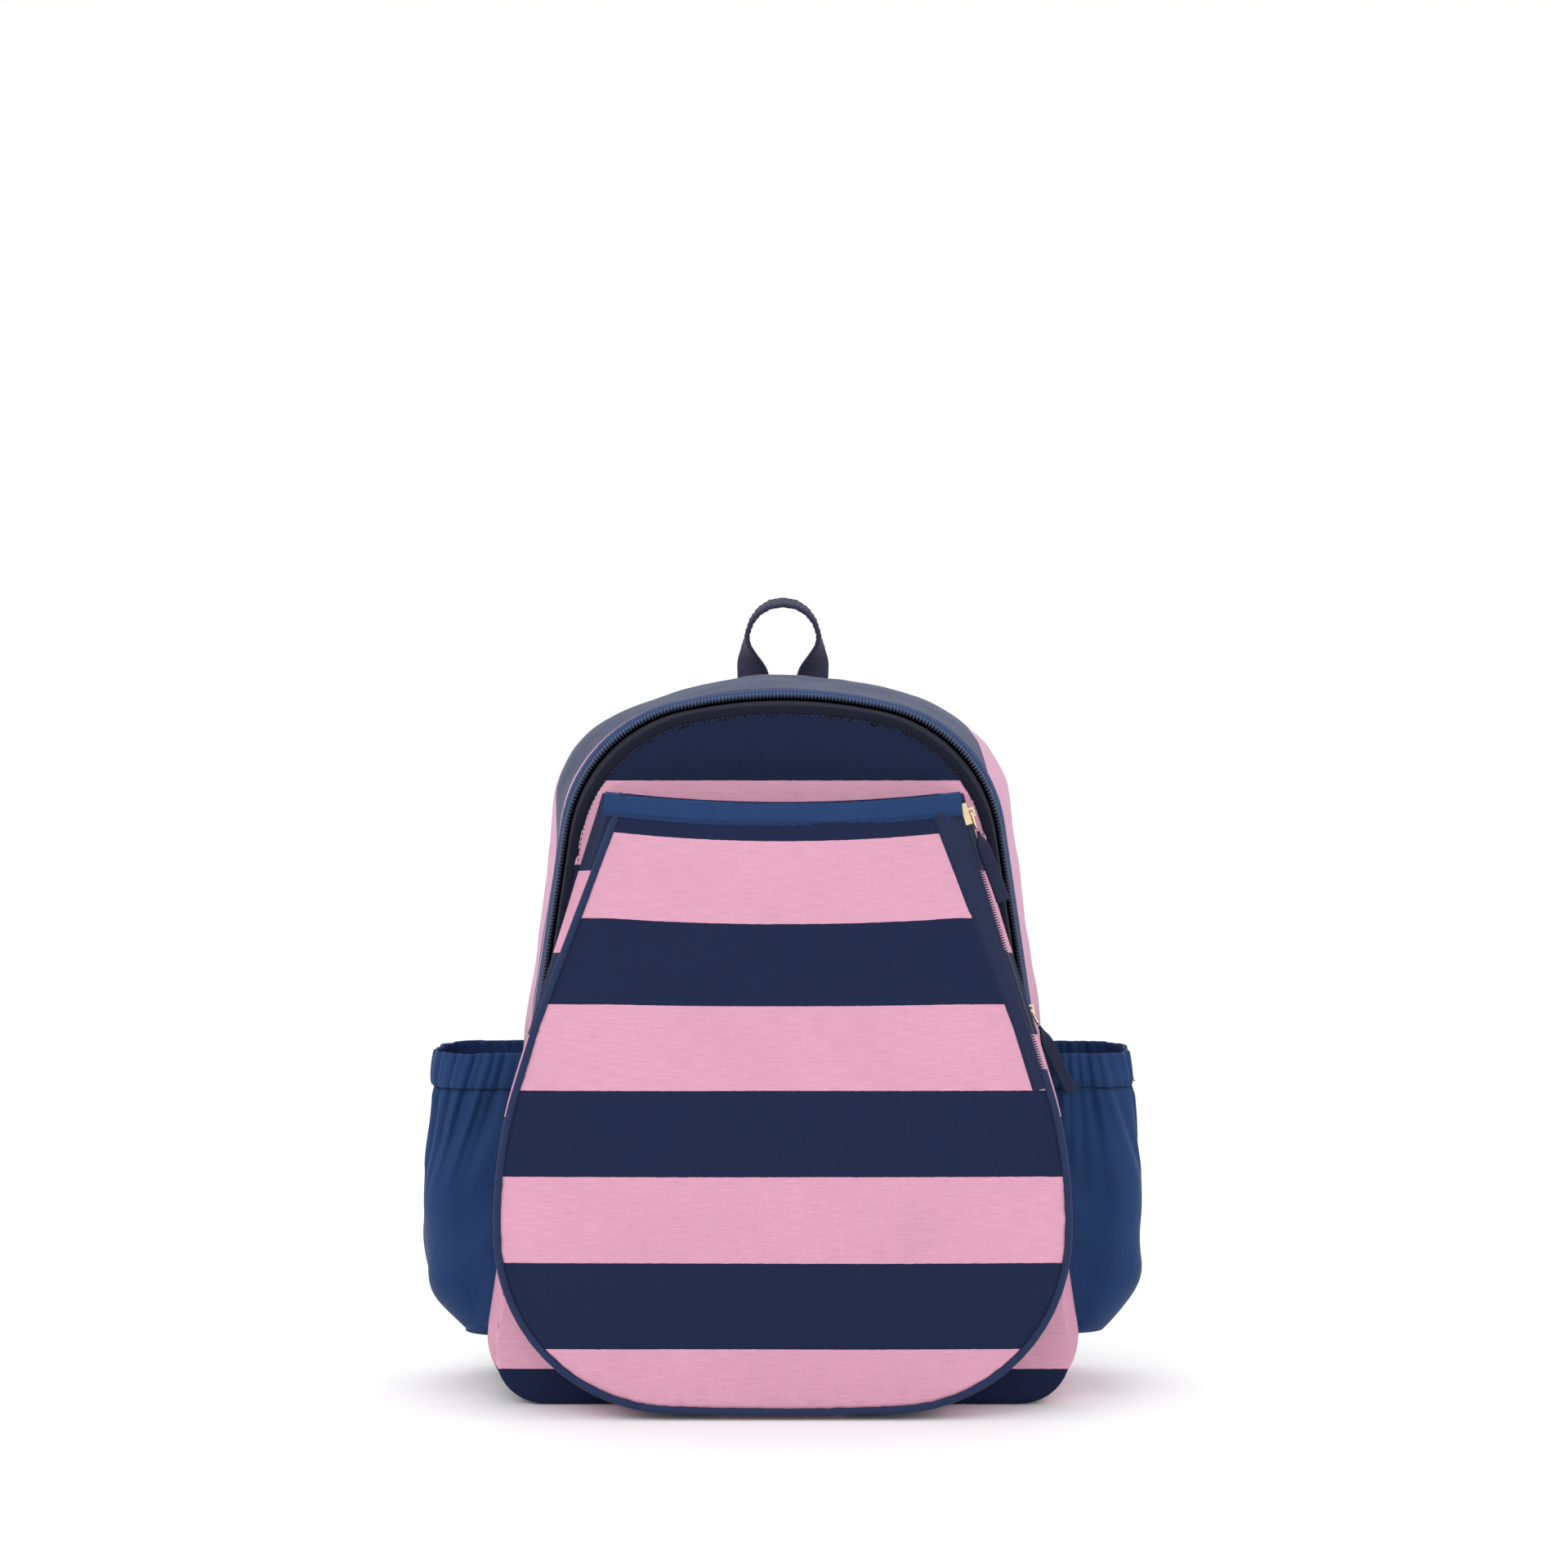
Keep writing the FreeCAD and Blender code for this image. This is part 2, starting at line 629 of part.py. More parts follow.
def bow_sector(body, inner, outer, low, high):
    """A sketch of a slice of the strap's bow between two radii and two angles."""
    sketch = new_sketch(body, "YZ_Plane", "0")
    middle = "((" + low + ") + (" + high + ")) / 2"
    for radius in (outer, inner):
        spots = [bow_point(radius, angle) for angle in (low, middle, high)]
        ends = [FreeCAD.Vector(size(y), size(z), 0) for y, z in spots]
        arc = sketch.addGeometry(Part.Arc(*ends), False)
        hold_point(sketch, arc, 1, *spots[0])
        hold_point(sketch, arc, 2, *spots[2])
        turn = sketch.addConstraint(Sketcher.Constraint("Radius", arc, size(radius)))
        sketch.setExpression("Constraints[" + str(turn) + "]", radius)
    outer_arc, inner_arc = sketch.Geometry
    sketch.addGeometry(Part.LineSegment(outer_arc.EndPoint, inner_arc.EndPoint), False)
    sketch.addGeometry(Part.LineSegment(inner_arc.StartPoint, outer_arc.StartPoint), False)
    for line, first, second, end in ((2, 0, 1, 2), (3, 1, 0, 1)):
        sketch.addConstraint(Sketcher.Constraint("Coincident", line, 1, first, end))
        sketch.addConstraint(Sketcher.Constraint("Coincident", line, 2, second, end))
    return sketch


def bow_piece(label, inner, outer, low, high, width):
    body = new_body(label)
    pad(body, bow_sector(body, inner, outer, low, high), width, midplane=True)
    seat_on_strap(body)
    return body


def strap_pieces():
    """The right shoulder strap, built along its bow from the top anchor to the base anchor."""
    whole = "Sizes.strap_radius"
    face = whole + " - Sizes.webbing"
    mesh = face + " - Sizes.strap_thickness + Sizes.fabric"
    under = face + " - Sizes.strap_thickness"
    top = "(Sizes.strap_end_angle - 4.2 deg)"
    low = "(-9 deg)"
    inner_low = low + " + 0.35 deg"
    inner_top = top + " - 0.35 deg"
    inner_width = "Sizes.strap_width - 6"

    padding = bow_piece("right_strap_pad", mesh, face, inner_low, inner_top, inner_width)
    lining = bow_piece("right_strap_lining", under, mesh, inner_low, inner_top, inner_width)
    binding = bow_piece("right_strap_binding", under, face, low, top, "Sizes.strap_width")
    middle = bow_sector(binding, under + " - 2", face + " + 2", inner_low, inner_top)
    pocket(binding, middle, inner_width, midplane=True)
    webbing = bow_piece("right_strap_webbing", face, whole, low, "Sizes.strap_end_angle",
                        "Sizes.webbing_width")

    buckle = bow_piece("right_buckle", under + " + 3", whole, low + " - 3.4 deg", low + " - 0.2 deg",
                       "Sizes.webbing_width + 9")
    for near, far in (("0.9 deg", "1.4 deg"), ("2.2 deg", "2.7 deg")):
        slot = bow_sector(buckle, under, whole + " + 2", low + " - " + far, low + " - " + near)
        pocket(buckle, slot, "Sizes.webbing_width + 2", midplane=True)
    lower = bow_piece("right_lower_webbing", face, whole, "-Sizes.strap_end_angle", low + " - 3.6 deg",
                      "Sizes.webbing_width")
    return [keep(piece) for piece in (padding, lining, binding, webbing, buckle, lower)]


def strap_tail():
    """The spare webbing that hangs from the buckle."""
    y, z = bow_point("Sizes.strap_radius", "12.4 deg")
    tail = doc.addObject("Part::Box", "right_strap_tail")
    tail.setExpression("Length", "Sizes.webbing_width")
    tail.setExpression("Width", "Sizes.webbing")
    tail.setExpression("Height", "Sizes.strap_length * 0.26")
    low = "-(" + z + ") - Sizes.strap_length - Sizes.strap_length * 0.26 - 1"
    seat_on_strap(tail, y + " + 0.6", low, "-Sizes.webbing_width / 2")
    return keep(tail)


def strap_anchors():
    """The patch at the top of the back, and the tabs that the straps are sewn to."""
    patch = new_body("strap_patch")
    half = "Sizes.strap_top_half + Sizes.webbing_width"
    corners = both_sides([(half, "Sizes.strap_top_height - 18", "6"),
                          (half, "Sizes.strap_top_height + 18", "6")])
    pad(patch, outline(patch, corners, at_depth("1")), "Sizes.panel", backwards=True)
    keep(patch)

    rise = "Sizes.strap_standoff - Sizes.panel - Sizes.webbing - 2.6"
    anchors = []
    for label, spot in (("right_top_anchor", "0"), ("right_lower_anchor", "-Sizes.strap_length")):
        tab = doc.addObject("Part::Box", label)
        tab.setExpression("Length", "14")
        tab.setExpression("Width", rise)
        tab.setExpression("Height", "14")
        seat_on_strap(tab, "Sizes.panel - Sizes.strap_standoff", spot + " - 7", "-7")
        anchors.append(keep(tab))
    return anchors


def straps():
    for piece in strap_pieces() + [strap_tail()] + strap_anchors():
        mirrored(piece.Label.replace("right", "left"), piece)


def carry_handle():
    """A loop of webbing: two flat legs sewn behind the back panel and a band turned on edge."""
    loop = new_body("carry_handle")
    half = "Sizes.handle_width / 2"
    inner = half + " - 4"
    top = "Sizes.pack_height + Sizes.handle_rise"
    bend = "Sizes.pack_height + 20"
    centre = "Sizes.back_plane + Sizes.panel + 1"
    corners = both_sides([(half, bend, None), (half, top, half + " * 0.8"), ("0", top + " + 0.4", "60")])
    arch = outline(loop, corners, "-(" + centre + ")")
    pad(loop, arch, "Sizes.handle_band", midplane=True)
    hole = both_sides([(inner, bend + " - 1", None), (inner, top + " - 5", inner + " * 0.8"),
                       ("0", top + " - 4.6", "60")])
    gap = outline(loop, hole, "-(" + centre + ")")
    pocket(loop, gap, "Sizes.handle_band + 2", midplane=True)
    for side in ("", "-"):
        inside = side + "(" + half + " - Sizes.handle_band)"
        outside = side + "(" + half + ")"
        ends = [outside, inside] if side else [inside, outside]
        leg = rectangle((ends[0], "Sizes.strap_top_height + 19"), (ends[1], bend + " + 1"))
        pad(loop, outline(loop, leg, "-(" + centre + ")"), "3.6", midplane=True)
    keep(loop)


# --- build, check and write out ---------------------------------------------------------

def build():
    fill_sheet()
    panels()
    gussets()
    base_board()
    back_padding()
    main_zip()
    racket_pocket()
    pocket_trim()
    side_pocket()
    pocket_zip()
    main_slider()
    straps()
    carry_handle()
    doc.recompute()


def check():
    for item in doc.Objects:
        if {"Invalid", "Error"} & set(item.State):
            raise RuntimeError(item.Label + " did not rebuild: " + str(item.State))
    for item in exported:
        if item.Shape.isNull() or not item.Shape.isValid():
            raise RuntimeError(item.Label + " has no valid solid")


def write_out():
    os.makedirs("parts", exist_ok=True)
    for item in exported:
        item.Shape.exportStep("parts/" + item.Label + ".step")
        print(item.Label, round(item.Shape.Volume), "mm3")


build()
check()
write_out()
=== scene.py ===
from math import atan, cos, pi, radians, sin, sqrt, tan

import bmesh
import bpy
from mathutils import Matrix, Vector, noise


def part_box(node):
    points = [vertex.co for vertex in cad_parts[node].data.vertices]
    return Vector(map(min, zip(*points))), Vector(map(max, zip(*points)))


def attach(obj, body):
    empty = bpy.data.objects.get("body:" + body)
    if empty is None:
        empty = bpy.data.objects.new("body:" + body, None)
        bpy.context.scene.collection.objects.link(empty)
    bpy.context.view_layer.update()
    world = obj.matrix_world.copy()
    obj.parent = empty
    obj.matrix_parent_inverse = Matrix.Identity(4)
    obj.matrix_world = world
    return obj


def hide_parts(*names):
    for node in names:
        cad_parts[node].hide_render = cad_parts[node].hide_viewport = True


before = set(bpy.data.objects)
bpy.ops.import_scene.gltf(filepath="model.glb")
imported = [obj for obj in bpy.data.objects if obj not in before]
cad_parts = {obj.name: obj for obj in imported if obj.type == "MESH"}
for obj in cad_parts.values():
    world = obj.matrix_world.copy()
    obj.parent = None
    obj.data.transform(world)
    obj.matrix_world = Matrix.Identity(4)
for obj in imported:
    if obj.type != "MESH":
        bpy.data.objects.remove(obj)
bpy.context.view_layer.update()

# A striped canvas racket backpack. Metres. The racket pocket faces -Y and Z is up.

bpy.context.scene.view_settings.view_transform = "Standard"

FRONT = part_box("front_panel")[0].y
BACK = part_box("back_panel")[1].y
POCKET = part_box("pocket_front")[0].y
DEPTH = BACK - FRONT
MIDDLE_POINT = Vector((0, (FRONT + BACK) / 2, 0.2))

PACK_WIDTH = 0.376
PACK_HEIGHT = 0.445
POCKET_WIDTH = 0.336
POCKET_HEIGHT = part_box("pocket_front")[1].z
MOUTH_WIDTH = 0.204
FLARE = 0.008
CLOTH = 0.0014
STRIPE = 0.0512

PINK = (0.655, 0.325, 0.445, 1)
# The front panel's pink is the same cloth as PINK but painted lighter. This is painted light against the
# shade that the racket pocket casts on the recessed panel.
PANEL_PINK_PAINTED_LIGHT = (0.755, 0.385, 0.520, 1)
STRIPE_NAVY = (0.0105, 0.0175, 0.054, 1)
BRIGHT_NAVY = (0.0085, 0.035, 0.118, 1)
DEEP_NAVY = (0.0095, 0.0145, 0.044, 1)
TAB_NAVY = (0.022, 0.028, 0.062, 1)
TRIM_NAVY = (0.0125, 0.024, 0.074, 1)
WEBBING_NAVY = (0.030, 0.028, 0.062, 1)
MESH_NAVY = (0.02, 0.028, 0.07, 1)
COIL_GREY = (0.045, 0.058, 0.105, 1)
BOARD_GREY = (0.05, 0.05, 0.055, 1)
CHARCOAL = (0.0055, 0.0070, 0.019, 1)
THREAD_NAVY = (0.012, 0.021, 0.062, 1)
PALE_GOLD = (0.86, 0.70, 0.44, 1)
BLACK_PLASTIC = (0.012, 0.013, 0.018, 1)


# --- seam lines: the curves that the panels are cut and sewn along --------------------

def rounded(corners, closed=True, steps=14):
    """Points along an outline of straight sides with rounded corners, in x and z."""
    points = []
    count = len(corners)
    for index, (x, z, radius) in enumerate(corners):
        corner = Vector((x, z))
        if not radius:
            points.append(corner)
            continue
        before = (Vector(corners[index - 1][:2]) - corner).normalized()
        after = (Vector(corners[(index + 1) % count][:2]) - corner).normalized()
        half = before.angle(after) / 2
        centre = corner + (before + after).normalized() * (radius / sin(half))
        start = corner + before * (radius / tan(half)) - centre
        end = corner + after * (radius / tan(half)) - centre
        for step in range(steps + 1):
            points.append(centre + start.slerp(end, step / steps).normalized() * radius)
    return points + points[:1] if closed else points


class SeamLine:
    """A line that can be asked for a point at any share of its length."""

    def __init__(self, points):
        self.points = points
        self.reached = [0.0]
        for first, second in zip(points, points[1:]):
            self.reached.append(self.reached[-1] + (second - first).length)
        self.length = self.reached[-1]

    def at(self, share):
        target = min(max(share, 0), 1) * self.length
        low, high = 0, len(self.points) - 1
        while high - low > 1:
            middle = (low + high) // 2
            if self.reached[middle] <= target:
                low = middle
            else:
                high = middle
        span = self.reached[high] - self.reached[low]
        return self.points[low].lerp(self.points[high], (target - self.reached[low]) / span)

    def outward(self, share):
        """The direction square to the line, on its right-hand side."""
        along = self.at(share + 0.002) - self.at(share - 0.002)
        return Vector((along.y, -along.x)).normalized()

    def part(self, start, end, count=160):
        return SeamLine([self.at(start + (end - start) * i / count) for i in range(count + 1)])


def mix(first, second, share):
    return first + (second - first) * share


def smooth(value):
    value = min(max(value, 0), 1)
    return value * value * (3 - 2 * value)


def bump(value, centre, width):
    """A smooth hill, 1 at its centre and 0 from its width outwards."""
    return 1 - smooth(abs(value - centre) / width)


def pack_seam(share, outset=0.0):
    """The pack's outline from the middle of the base, up the right side, over and back."""
    peak = mix(0.962, 1.058, share) * PACK_HEIGHT + outset * 1.06
    shoulder_x = mix(0.315, 0.367, share) * PACK_WIDTH + outset * 0.9
    shoulder_z = mix(0.924, 0.9, share) * PACK_HEIGHT + outset * 0.75
    base_x = mix(0.479, 0.5, share) * PACK_WIDTH + outset
    base_radius = PACK_WIDTH * 0.08 + outset
    shoulder_radius = mix(0.315 * 0.78, 0.367 * 0.33, share) * PACK_WIDTH + outset
    peak_radius = mix(0.315 * 2.4, 0.367 * 1.5, share) * PACK_WIDTH + outset
    base_z = max(0.0, -outset)
    half = [(base_x, base_z, base_radius), (shoulder_x, shoulder_z, shoulder_radius)]
    mirror = [(-x, z, radius) for x, z, radius in reversed(half)]
    around = half + [(0, peak, peak_radius)] + mirror
    return SeamLine(rounded([(0, base_z, None)] + around))


def pocket_seam(outset=0.0, tuck=0.0):
    """The racket pocket's outline from its left mouth corner, round the base, to its right.

    The tuck draws the front's two sides in towards the mouth, where the gusset rolls forward.
    """
    low = 0.0056 - min(outset, 0.0045)
    side = POCKET_WIDTH / 2 + outset
    mouth = MOUTH_WIDTH / 2 + outset
    bend = POCKET_HEIGHT * (1 - 0.574)
    half = [(0, low, POCKET_WIDTH * 4.5), (side, low + POCKET_WIDTH * 0.015, POCKET_WIDTH * 0.31),
            (side, bend, POCKET_WIDTH * 0.8), (mouth, POCKET_HEIGHT, None)]
    mirror = [(-x, z, radius) for x, z, radius in reversed(half[1:])]
    line = SeamLine(rounded(mirror + half, closed=False))
    points = []
    for index in range(321):
        spot = line.at(index / 320)
        drawn = tuck * min(max((spot.y - 0.235) / 0.125, 0), 1)
        points.append(Vector((spot.x - drawn if spot.x > 0 else spot.x + drawn, spot.y)))
    return SeamLine(points)


def gusset_bulge(share):
    """How far the gusset stands out of the straight line between the two panels."""
    if share < 0.6:
        return mix(0.0066, 0.0088, smooth((share - 0.2) / 0.4))
    return mix(0.0088, 0.0004, smooth((share - 0.6) / 0.4))


def share_at_height(seam, z, start, end):
    """The share of a seam line's length, between two others, at which it stands at a height."""
    best = min(range(401), key=lambda i: abs(seam.at(mix(start, end, i / 400)).y - z))
    return mix(start, end, best / 400)


def ripple(point, scale, strength, seed):
    """A soft, irregular displacement that is the same at every run."""
    return noise.noise(point * scale + Vector((seed, seed * 1.7, seed * 2.3))) * strength


GUSSET_SEAM = pack_seam(0.2, 0.0066)
BASE_SEAM_LEFT = (0.5 - share_at_height(GUSSET_SEAM, 0.021, 0.7, 1.0)) * GUSSET_SEAM.length
BASE_SEAM_RIGHT = (0.5 - share_at_height(GUSSET_SEAM, 0.003, 0.0, 0.3)) * GUSSET_SEAM.length


# --- making pieces -------------------------------------------------------------------------

def finish_piece(shape, name, material, body, nodes=()):
    """Turn a bmesh into an object, name it, dress it and fix it to its body."""
    mesh = bpy.data.meshes.new(name)
    shape.to_mesh(mesh)
    shape.free()
    for polygon in mesh.polygons:
        polygon.use_smooth = True
    piece = bpy.data.objects.new(name, mesh)
    bpy.context.collection.objects.link(piece)
    mesh.materials.append(material)
    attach(piece, body)
    if nodes:
        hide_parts(*nodes)
    return piece


def grid_shape(columns, rows, place, wrap=False):
    """A grid whose points are put in place by a function of two shares, with a map in metres.

    The function returns a point and where that point lies on the flat cloth.
    """
    shape = bmesh.new()
    bmesh.ops.create_grid(shape, x_segments=columns, y_segments=rows, size=0.5)
    flat = {}
    for vert in shape.verts:
        point, spot = place(vert.co.x + 0.5, vert.co.y + 0.5)
        vert.co = point
        flat[vert] = spot
    layer = shape.loops.layers.uv.new("weave")
    for face in shape.faces:
        for loop in face.loops:
            loop[layer].uv = flat[loop.vert]
    if wrap:
        bmesh.ops.remove_doubles(shape, verts=shape.verts, dist=1e-6)
    return shape


def face_outwards(shape, centre):
    """Turn an open sheet's faces so that they look away from a point."""
    votes = sum((face.calc_center_median() - centre).dot(face.normal) * face.calc_area()
                for face in shape.faces)
    if votes < 0:
        bmesh.ops.reverse_faces(shape, faces=shape.faces)


def thicken(piece, thickness, rounds=1, offset=-1.0):
    wall = piece.modifiers.new("cloth", "SOLIDIFY")
    wall.thickness = thickness
    wall.offset = offset
    if rounds:
        soften(piece, rounds)


def soften(piece, rounds=1):
    soft = piece.modifiers.new("soft", "SUBSURF")
    soft.levels = rounds
    soft.render_levels = rounds


def tube_shape(points, radius, sides, across=None):
    """A round tube along a list of points, closed at both ends."""
    count = len(points) - 1
    length = [0.0]
    for first, second in zip(points, points[1:]):
        length.append(length[-1] + (second - first).length)

    def place(turn, along):
        index = min(int(round(along * count)), count)
        before = points[max(index - 1, 0)]
        after = points[min(index + 1, count)]
        forward = (after - before).normalized()
        side = forward.cross(across or Vector((0, 1, 0))).normalized()
        up = side.cross(forward).normalized()
        angle = turn * 2 * pi
        offset = side * cos(angle) * radius + up * sin(angle) * radius
        return points[index] + offset, (turn * 2 * pi * radius, length[index])

    shape = grid_shape(sides, count, place, wrap=True)
    ends = [edge for edge in shape.edges if edge.is_boundary]
    bmesh.ops.holes_fill(shape, edges=ends, sides=0)
    bmesh.ops.recalc_face_normals(shape, faces=shape.faces)
    return shape


def repeated(name, spots, make_one, material, body, nodes=()):
    """One small shape repeated at many spots, each given as a 4 by 4 matrix."""
    unit = bmesh.new()
    make_one(unit)
    mesh = bpy.data.meshes.new(name + "_unit")
    unit.to_mesh(mesh)
    unit.free()
    shape = bmesh.new()
    for spot in spots:
        before = len(shape.verts)
        shape.from_mesh(mesh)
        shape.verts.ensure_lookup_table()
        bmesh.ops.transform(shape, matrix=spot, verts=shape.verts[before:])
    bpy.data.meshes.remove(mesh)
    return finish_piece(shape, name, material, body, nodes)


def frame_at(point, along, out):
    """A matrix whose X runs along a seam and whose Z points out of the cloth."""
    x = along.normalized()
    z = (out - x * out.dot(x)).normalized()
    y = z.cross(x)
    return Matrix.Translation(point) @ Matrix((x, y, z)).transposed().to_4x4()


THREAD_WIDTH = 0.0007
THREAD_HEIGHT = 0.0006


def stitch_row(name, points, outs, body, material, pitch=0.0034, lift=0.0002):
    """A row of lockstitches on a line of points, each with its outward direction."""
    line = SeamLine(points)
    count = max(int(line.length / pitch), 2)
    spots = []
    for index in range(count):
        share = (index + 0.5) / count
        here = line.at(share)
        ahead = line.at(min(share + 0.4 / count, 1))
        out = outs[min(int(share * len(outs)), len(outs) - 1)]
        spots.append(frame_at(here + out * lift, ahead - here, out))

    def one(unit):
        bmesh.ops.create_icosphere(unit, subdivisions=1, radius=0.5)
        bmesh.ops.scale(unit, vec=(pitch * 0.74, THREAD_WIDTH, THREAD_HEIGHT), verts=unit.verts)

    return repeated(name, spots, one, material, body)


# --- finishes ---------------------------------------------------------------------------------

class Finish:
    """A material being mixed: nodes are added one by one and joined as they are named."""

    def __init__(self, name, roughness, metallic=0.0, sheen=0.0, coat=0.0, gloss=0.5):
        self.material = bpy.data.materials.new(name)
        self.material.use_nodes = True
        self.nodes = self.material.node_tree.nodes
        self.links = self.material.node_tree.links
        self.shader = self.nodes["Principled BSDF"]
        self.shader.inputs["Roughness"].default_value = roughness
        self.shader.inputs["Metallic"].default_value = metallic
        self.shader.inputs["Specular IOR Level"].default_value = gloss
        self.shader.inputs["Sheen Weight"].default_value = sheen
        self.shader.inputs["Sheen Roughness"].default_value = 0.45
        self.shader.inputs["Sheen Tint"].default_value = (0.72, 0.78, 1.0, 1)
        self.shader.inputs["Coat Weight"].default_value = coat

    def add(self, kind, values=(), **settings):
        node = self.nodes.new("ShaderNode" + kind)
        for name, value in settings.items():
            setattr(node, name, value)
        for name, value in dict(values).items():
            self.join(value, node.inputs[name])
        return node

    def join(self, value, socket):
        if isinstance(value, bpy.types.NodeSocket):
            self.links.new(value, socket)
        else:
            socket.default_value = value

    def math(self, operation, first, second=0.0):
        return self.add("Math", {0: first, 1: second}, operation=operation).outputs[0]

    def flat_spot(self):
        """Where a point lies on the flat cloth, in metres."""
        return self.add("UVMap", uv_map="weave").outputs["UV"]

    def object_spot(self):
        return self.add("TexCoord").outputs["Object"]

    def upright_spot(self):
        """Where a point stands on the pack, seen from behind: across, then up."""
        parts = self.add("SeparateXYZ", {0: self.object_spot()}).outputs
        return self.add("CombineXYZ", {0: parts["X"], 1: parts["Z"]}).outputs[0]

    def stretched(self, spot, scale):
        return self.add("Mapping", {"Vector": spot, "Scale": scale}).outputs["Vector"]

    def grain(self, spot, scale, detail=3.0):
        """Smooth noise, stretched along the threads by an uneven scale."""
        mapped = self.stretched(spot, scale)
        return self.add("TexNoise", {"Vector": mapped, "Scale": 1.0, "Detail": detail}).outputs["Fac"]

    def ribs(self, spot, pitch, direction):
        """Even ribs across the cloth, at one pitch in metres."""
        wave = self.add("TexWave", {"Vector": spot, "Scale": pi / 10 / pitch}, bands_direction=direction)
        return wave.outputs["Fac"]

    def ramp(self, value, low, high, start=0.0, end=1.0):
        values = {"Value": value, "From Min": low, "From Max": high, "To Min": start, "To Max": end}
        return self.add("MapRange", values).outputs["Result"]

    def blend(self, share, first, second, mode="MIX"):
        node = self.add("Mix", data_type="RGBA", blend_type=mode)
        self.join(share, node.inputs[0])
        self.join(first, node.inputs[6])
        self.join(second, node.inputs[7])
        return node.outputs[2]

    def shade(self, colour, value, dark, light):
        """A colour made darker and lighter by a value from 0 to 1."""
        gain = self.ramp(value, 0.25, 0.75, dark, light)
        grey = self.add("CombineColor", {0: gain, 1: gain, 2: gain}).outputs[0]
        return self.blend(1.0, colour, grey, "MULTIPLY")

    def done(self, colour, height, strength, distance, rough=None):
        self.join(colour, self.shader.inputs["Base Color"])
        relief = self.add("Bump", {"Height": height, "Strength": strength, "Distance": distance})
        self.links.new(relief.outputs["Normal"], self.shader.inputs["Normal"])
        if rough:
            self.links.new(rough, self.shader.inputs["Roughness"])
        return self.material


def canvas(name, paint, roughness=0.86, sheen=0.03, pitch=0.0012, slub=1.0, upright=False):
    """Slubbed canvas: crossed threads, with thicker weft threads that show as short streaks."""
    cloth = Finish(name, roughness, sheen=sheen, gloss=0.12)
    spot = cloth.upright_spot() if upright else cloth.flat_spot()
    weft = cloth.grain(spot, (75, 1400, 1))
    warp = cloth.grain(spot, (900, 45, 1))
    patch = cloth.grain(spot, (14, 14, 1), 2.0)
    over = cloth.ribs(spot, pitch, "X")
    under = cloth.ribs(spot, pitch * 0.8, "Y")
    threads = cloth.math("MULTIPLY", over, under)
    colour = paint(cloth, spot)
    colour = cloth.shade(colour, weft, 1 - 0.11 * slub, 1 + 0.09 * slub)
    colour = cloth.shade(colour, warp, 1 - 0.025 * slub, 1 + 0.025 * slub)
    colour = cloth.shade(colour, patch, 0.96, 1.03)
    colour = cloth.shade(colour, threads, 0.93, 1.04)
    height = cloth.math("ADD", threads, cloth.math("MULTIPLY", weft, 1.3 * slub))
    rough = cloth.ramp(weft, 0.3, 0.7, roughness - 0.08, roughness + 0.06)
    return cloth.done(colour, height, 0.35, 0.0004, rough)


def plain(colour):
    return lambda cloth, spot: cloth.blend(0.0, colour, colour)


def stripes(first_edge, low_colour, high_colour):
    """Broad stripes across the height of the cloth, with edges as woven, not ruled."""
    def paint(cloth, spot):
        up = cloth.add("SeparateXYZ", {0: spot}).outputs["Y"]
        wobble = cloth.math("MULTIPLY", cloth.grain(spot, (260, 260, 1)), 0.0006)
        place = cloth.math("ADD", cloth.math("SUBTRACT", up, first_edge), wobble)
        share = cloth.math("FLOORED_MODULO", place, STRIPE * 2)
        high = cloth.math("GREATER_THAN", share, STRIPE)
        return cloth.blend(high, low_colour, high_colour)
    return paint


def gusset_stripe(cloth, spot):
    """One navy stripe over the top, which runs out at both shoulders, on a pink ground.

    The cloth's X is the way along the seam from the top of the pack, its Y the way back.
    """
    parts = cloth.add("SeparateXYZ", {0: spot}).outputs
    along, back = parts["X"], parts["Y"]
    wobble = cloth.math("MULTIPLY", cloth.grain(spot, (200, 200, 1)), 0.0006)
    back = cloth.math("ADD", back, wobble)
    right_edge = cloth.ramp(along, 0.075, 0.145, 0.14, 0.0)
    left_edge = cloth.ramp(along, -0.20, -0.065, 0.012, 0.13)
    left_edge = cloth.math("MULTIPLY", left_edge, cloth.ramp(along, -0.34, -0.29))
    start = cloth.ramp(along, -0.16, -0.05, 0.006, 0.0012)
    inside = cloth.math("LESS_THAN", back, cloth.math("MINIMUM", right_edge, left_edge))
    beyond = cloth.math("GREATER_THAN", back, start)
    over = cloth.math("MULTIPLY", inside, beyond)
    low_left = cloth.math("LESS_THAN", along, BASE_SEAM_LEFT)
    low_right = cloth.math("GREATER_THAN", along, BASE_SEAM_RIGHT)
    under = cloth.math("MAXIMUM", low_left, low_right)
    return cloth.blend(cloth.math("MAXIMUM", over, under), PINK, STRIPE_NAVY)


def sill_stripe(cloth, spot):
    """Pink above the seams of the base, which stand higher on the left, and navy under them."""
    parts = cloth.add("SeparateXYZ", {0: cloth.object_spot()}).outputs
    seam = cloth.ramp(parts["X"], -0.01, 0.01, 0.021, 0.003)
    return cloth.blend(cloth.math("GREATER_THAN", parts["Z"], seam), STRIPE_NAVY, PINK)


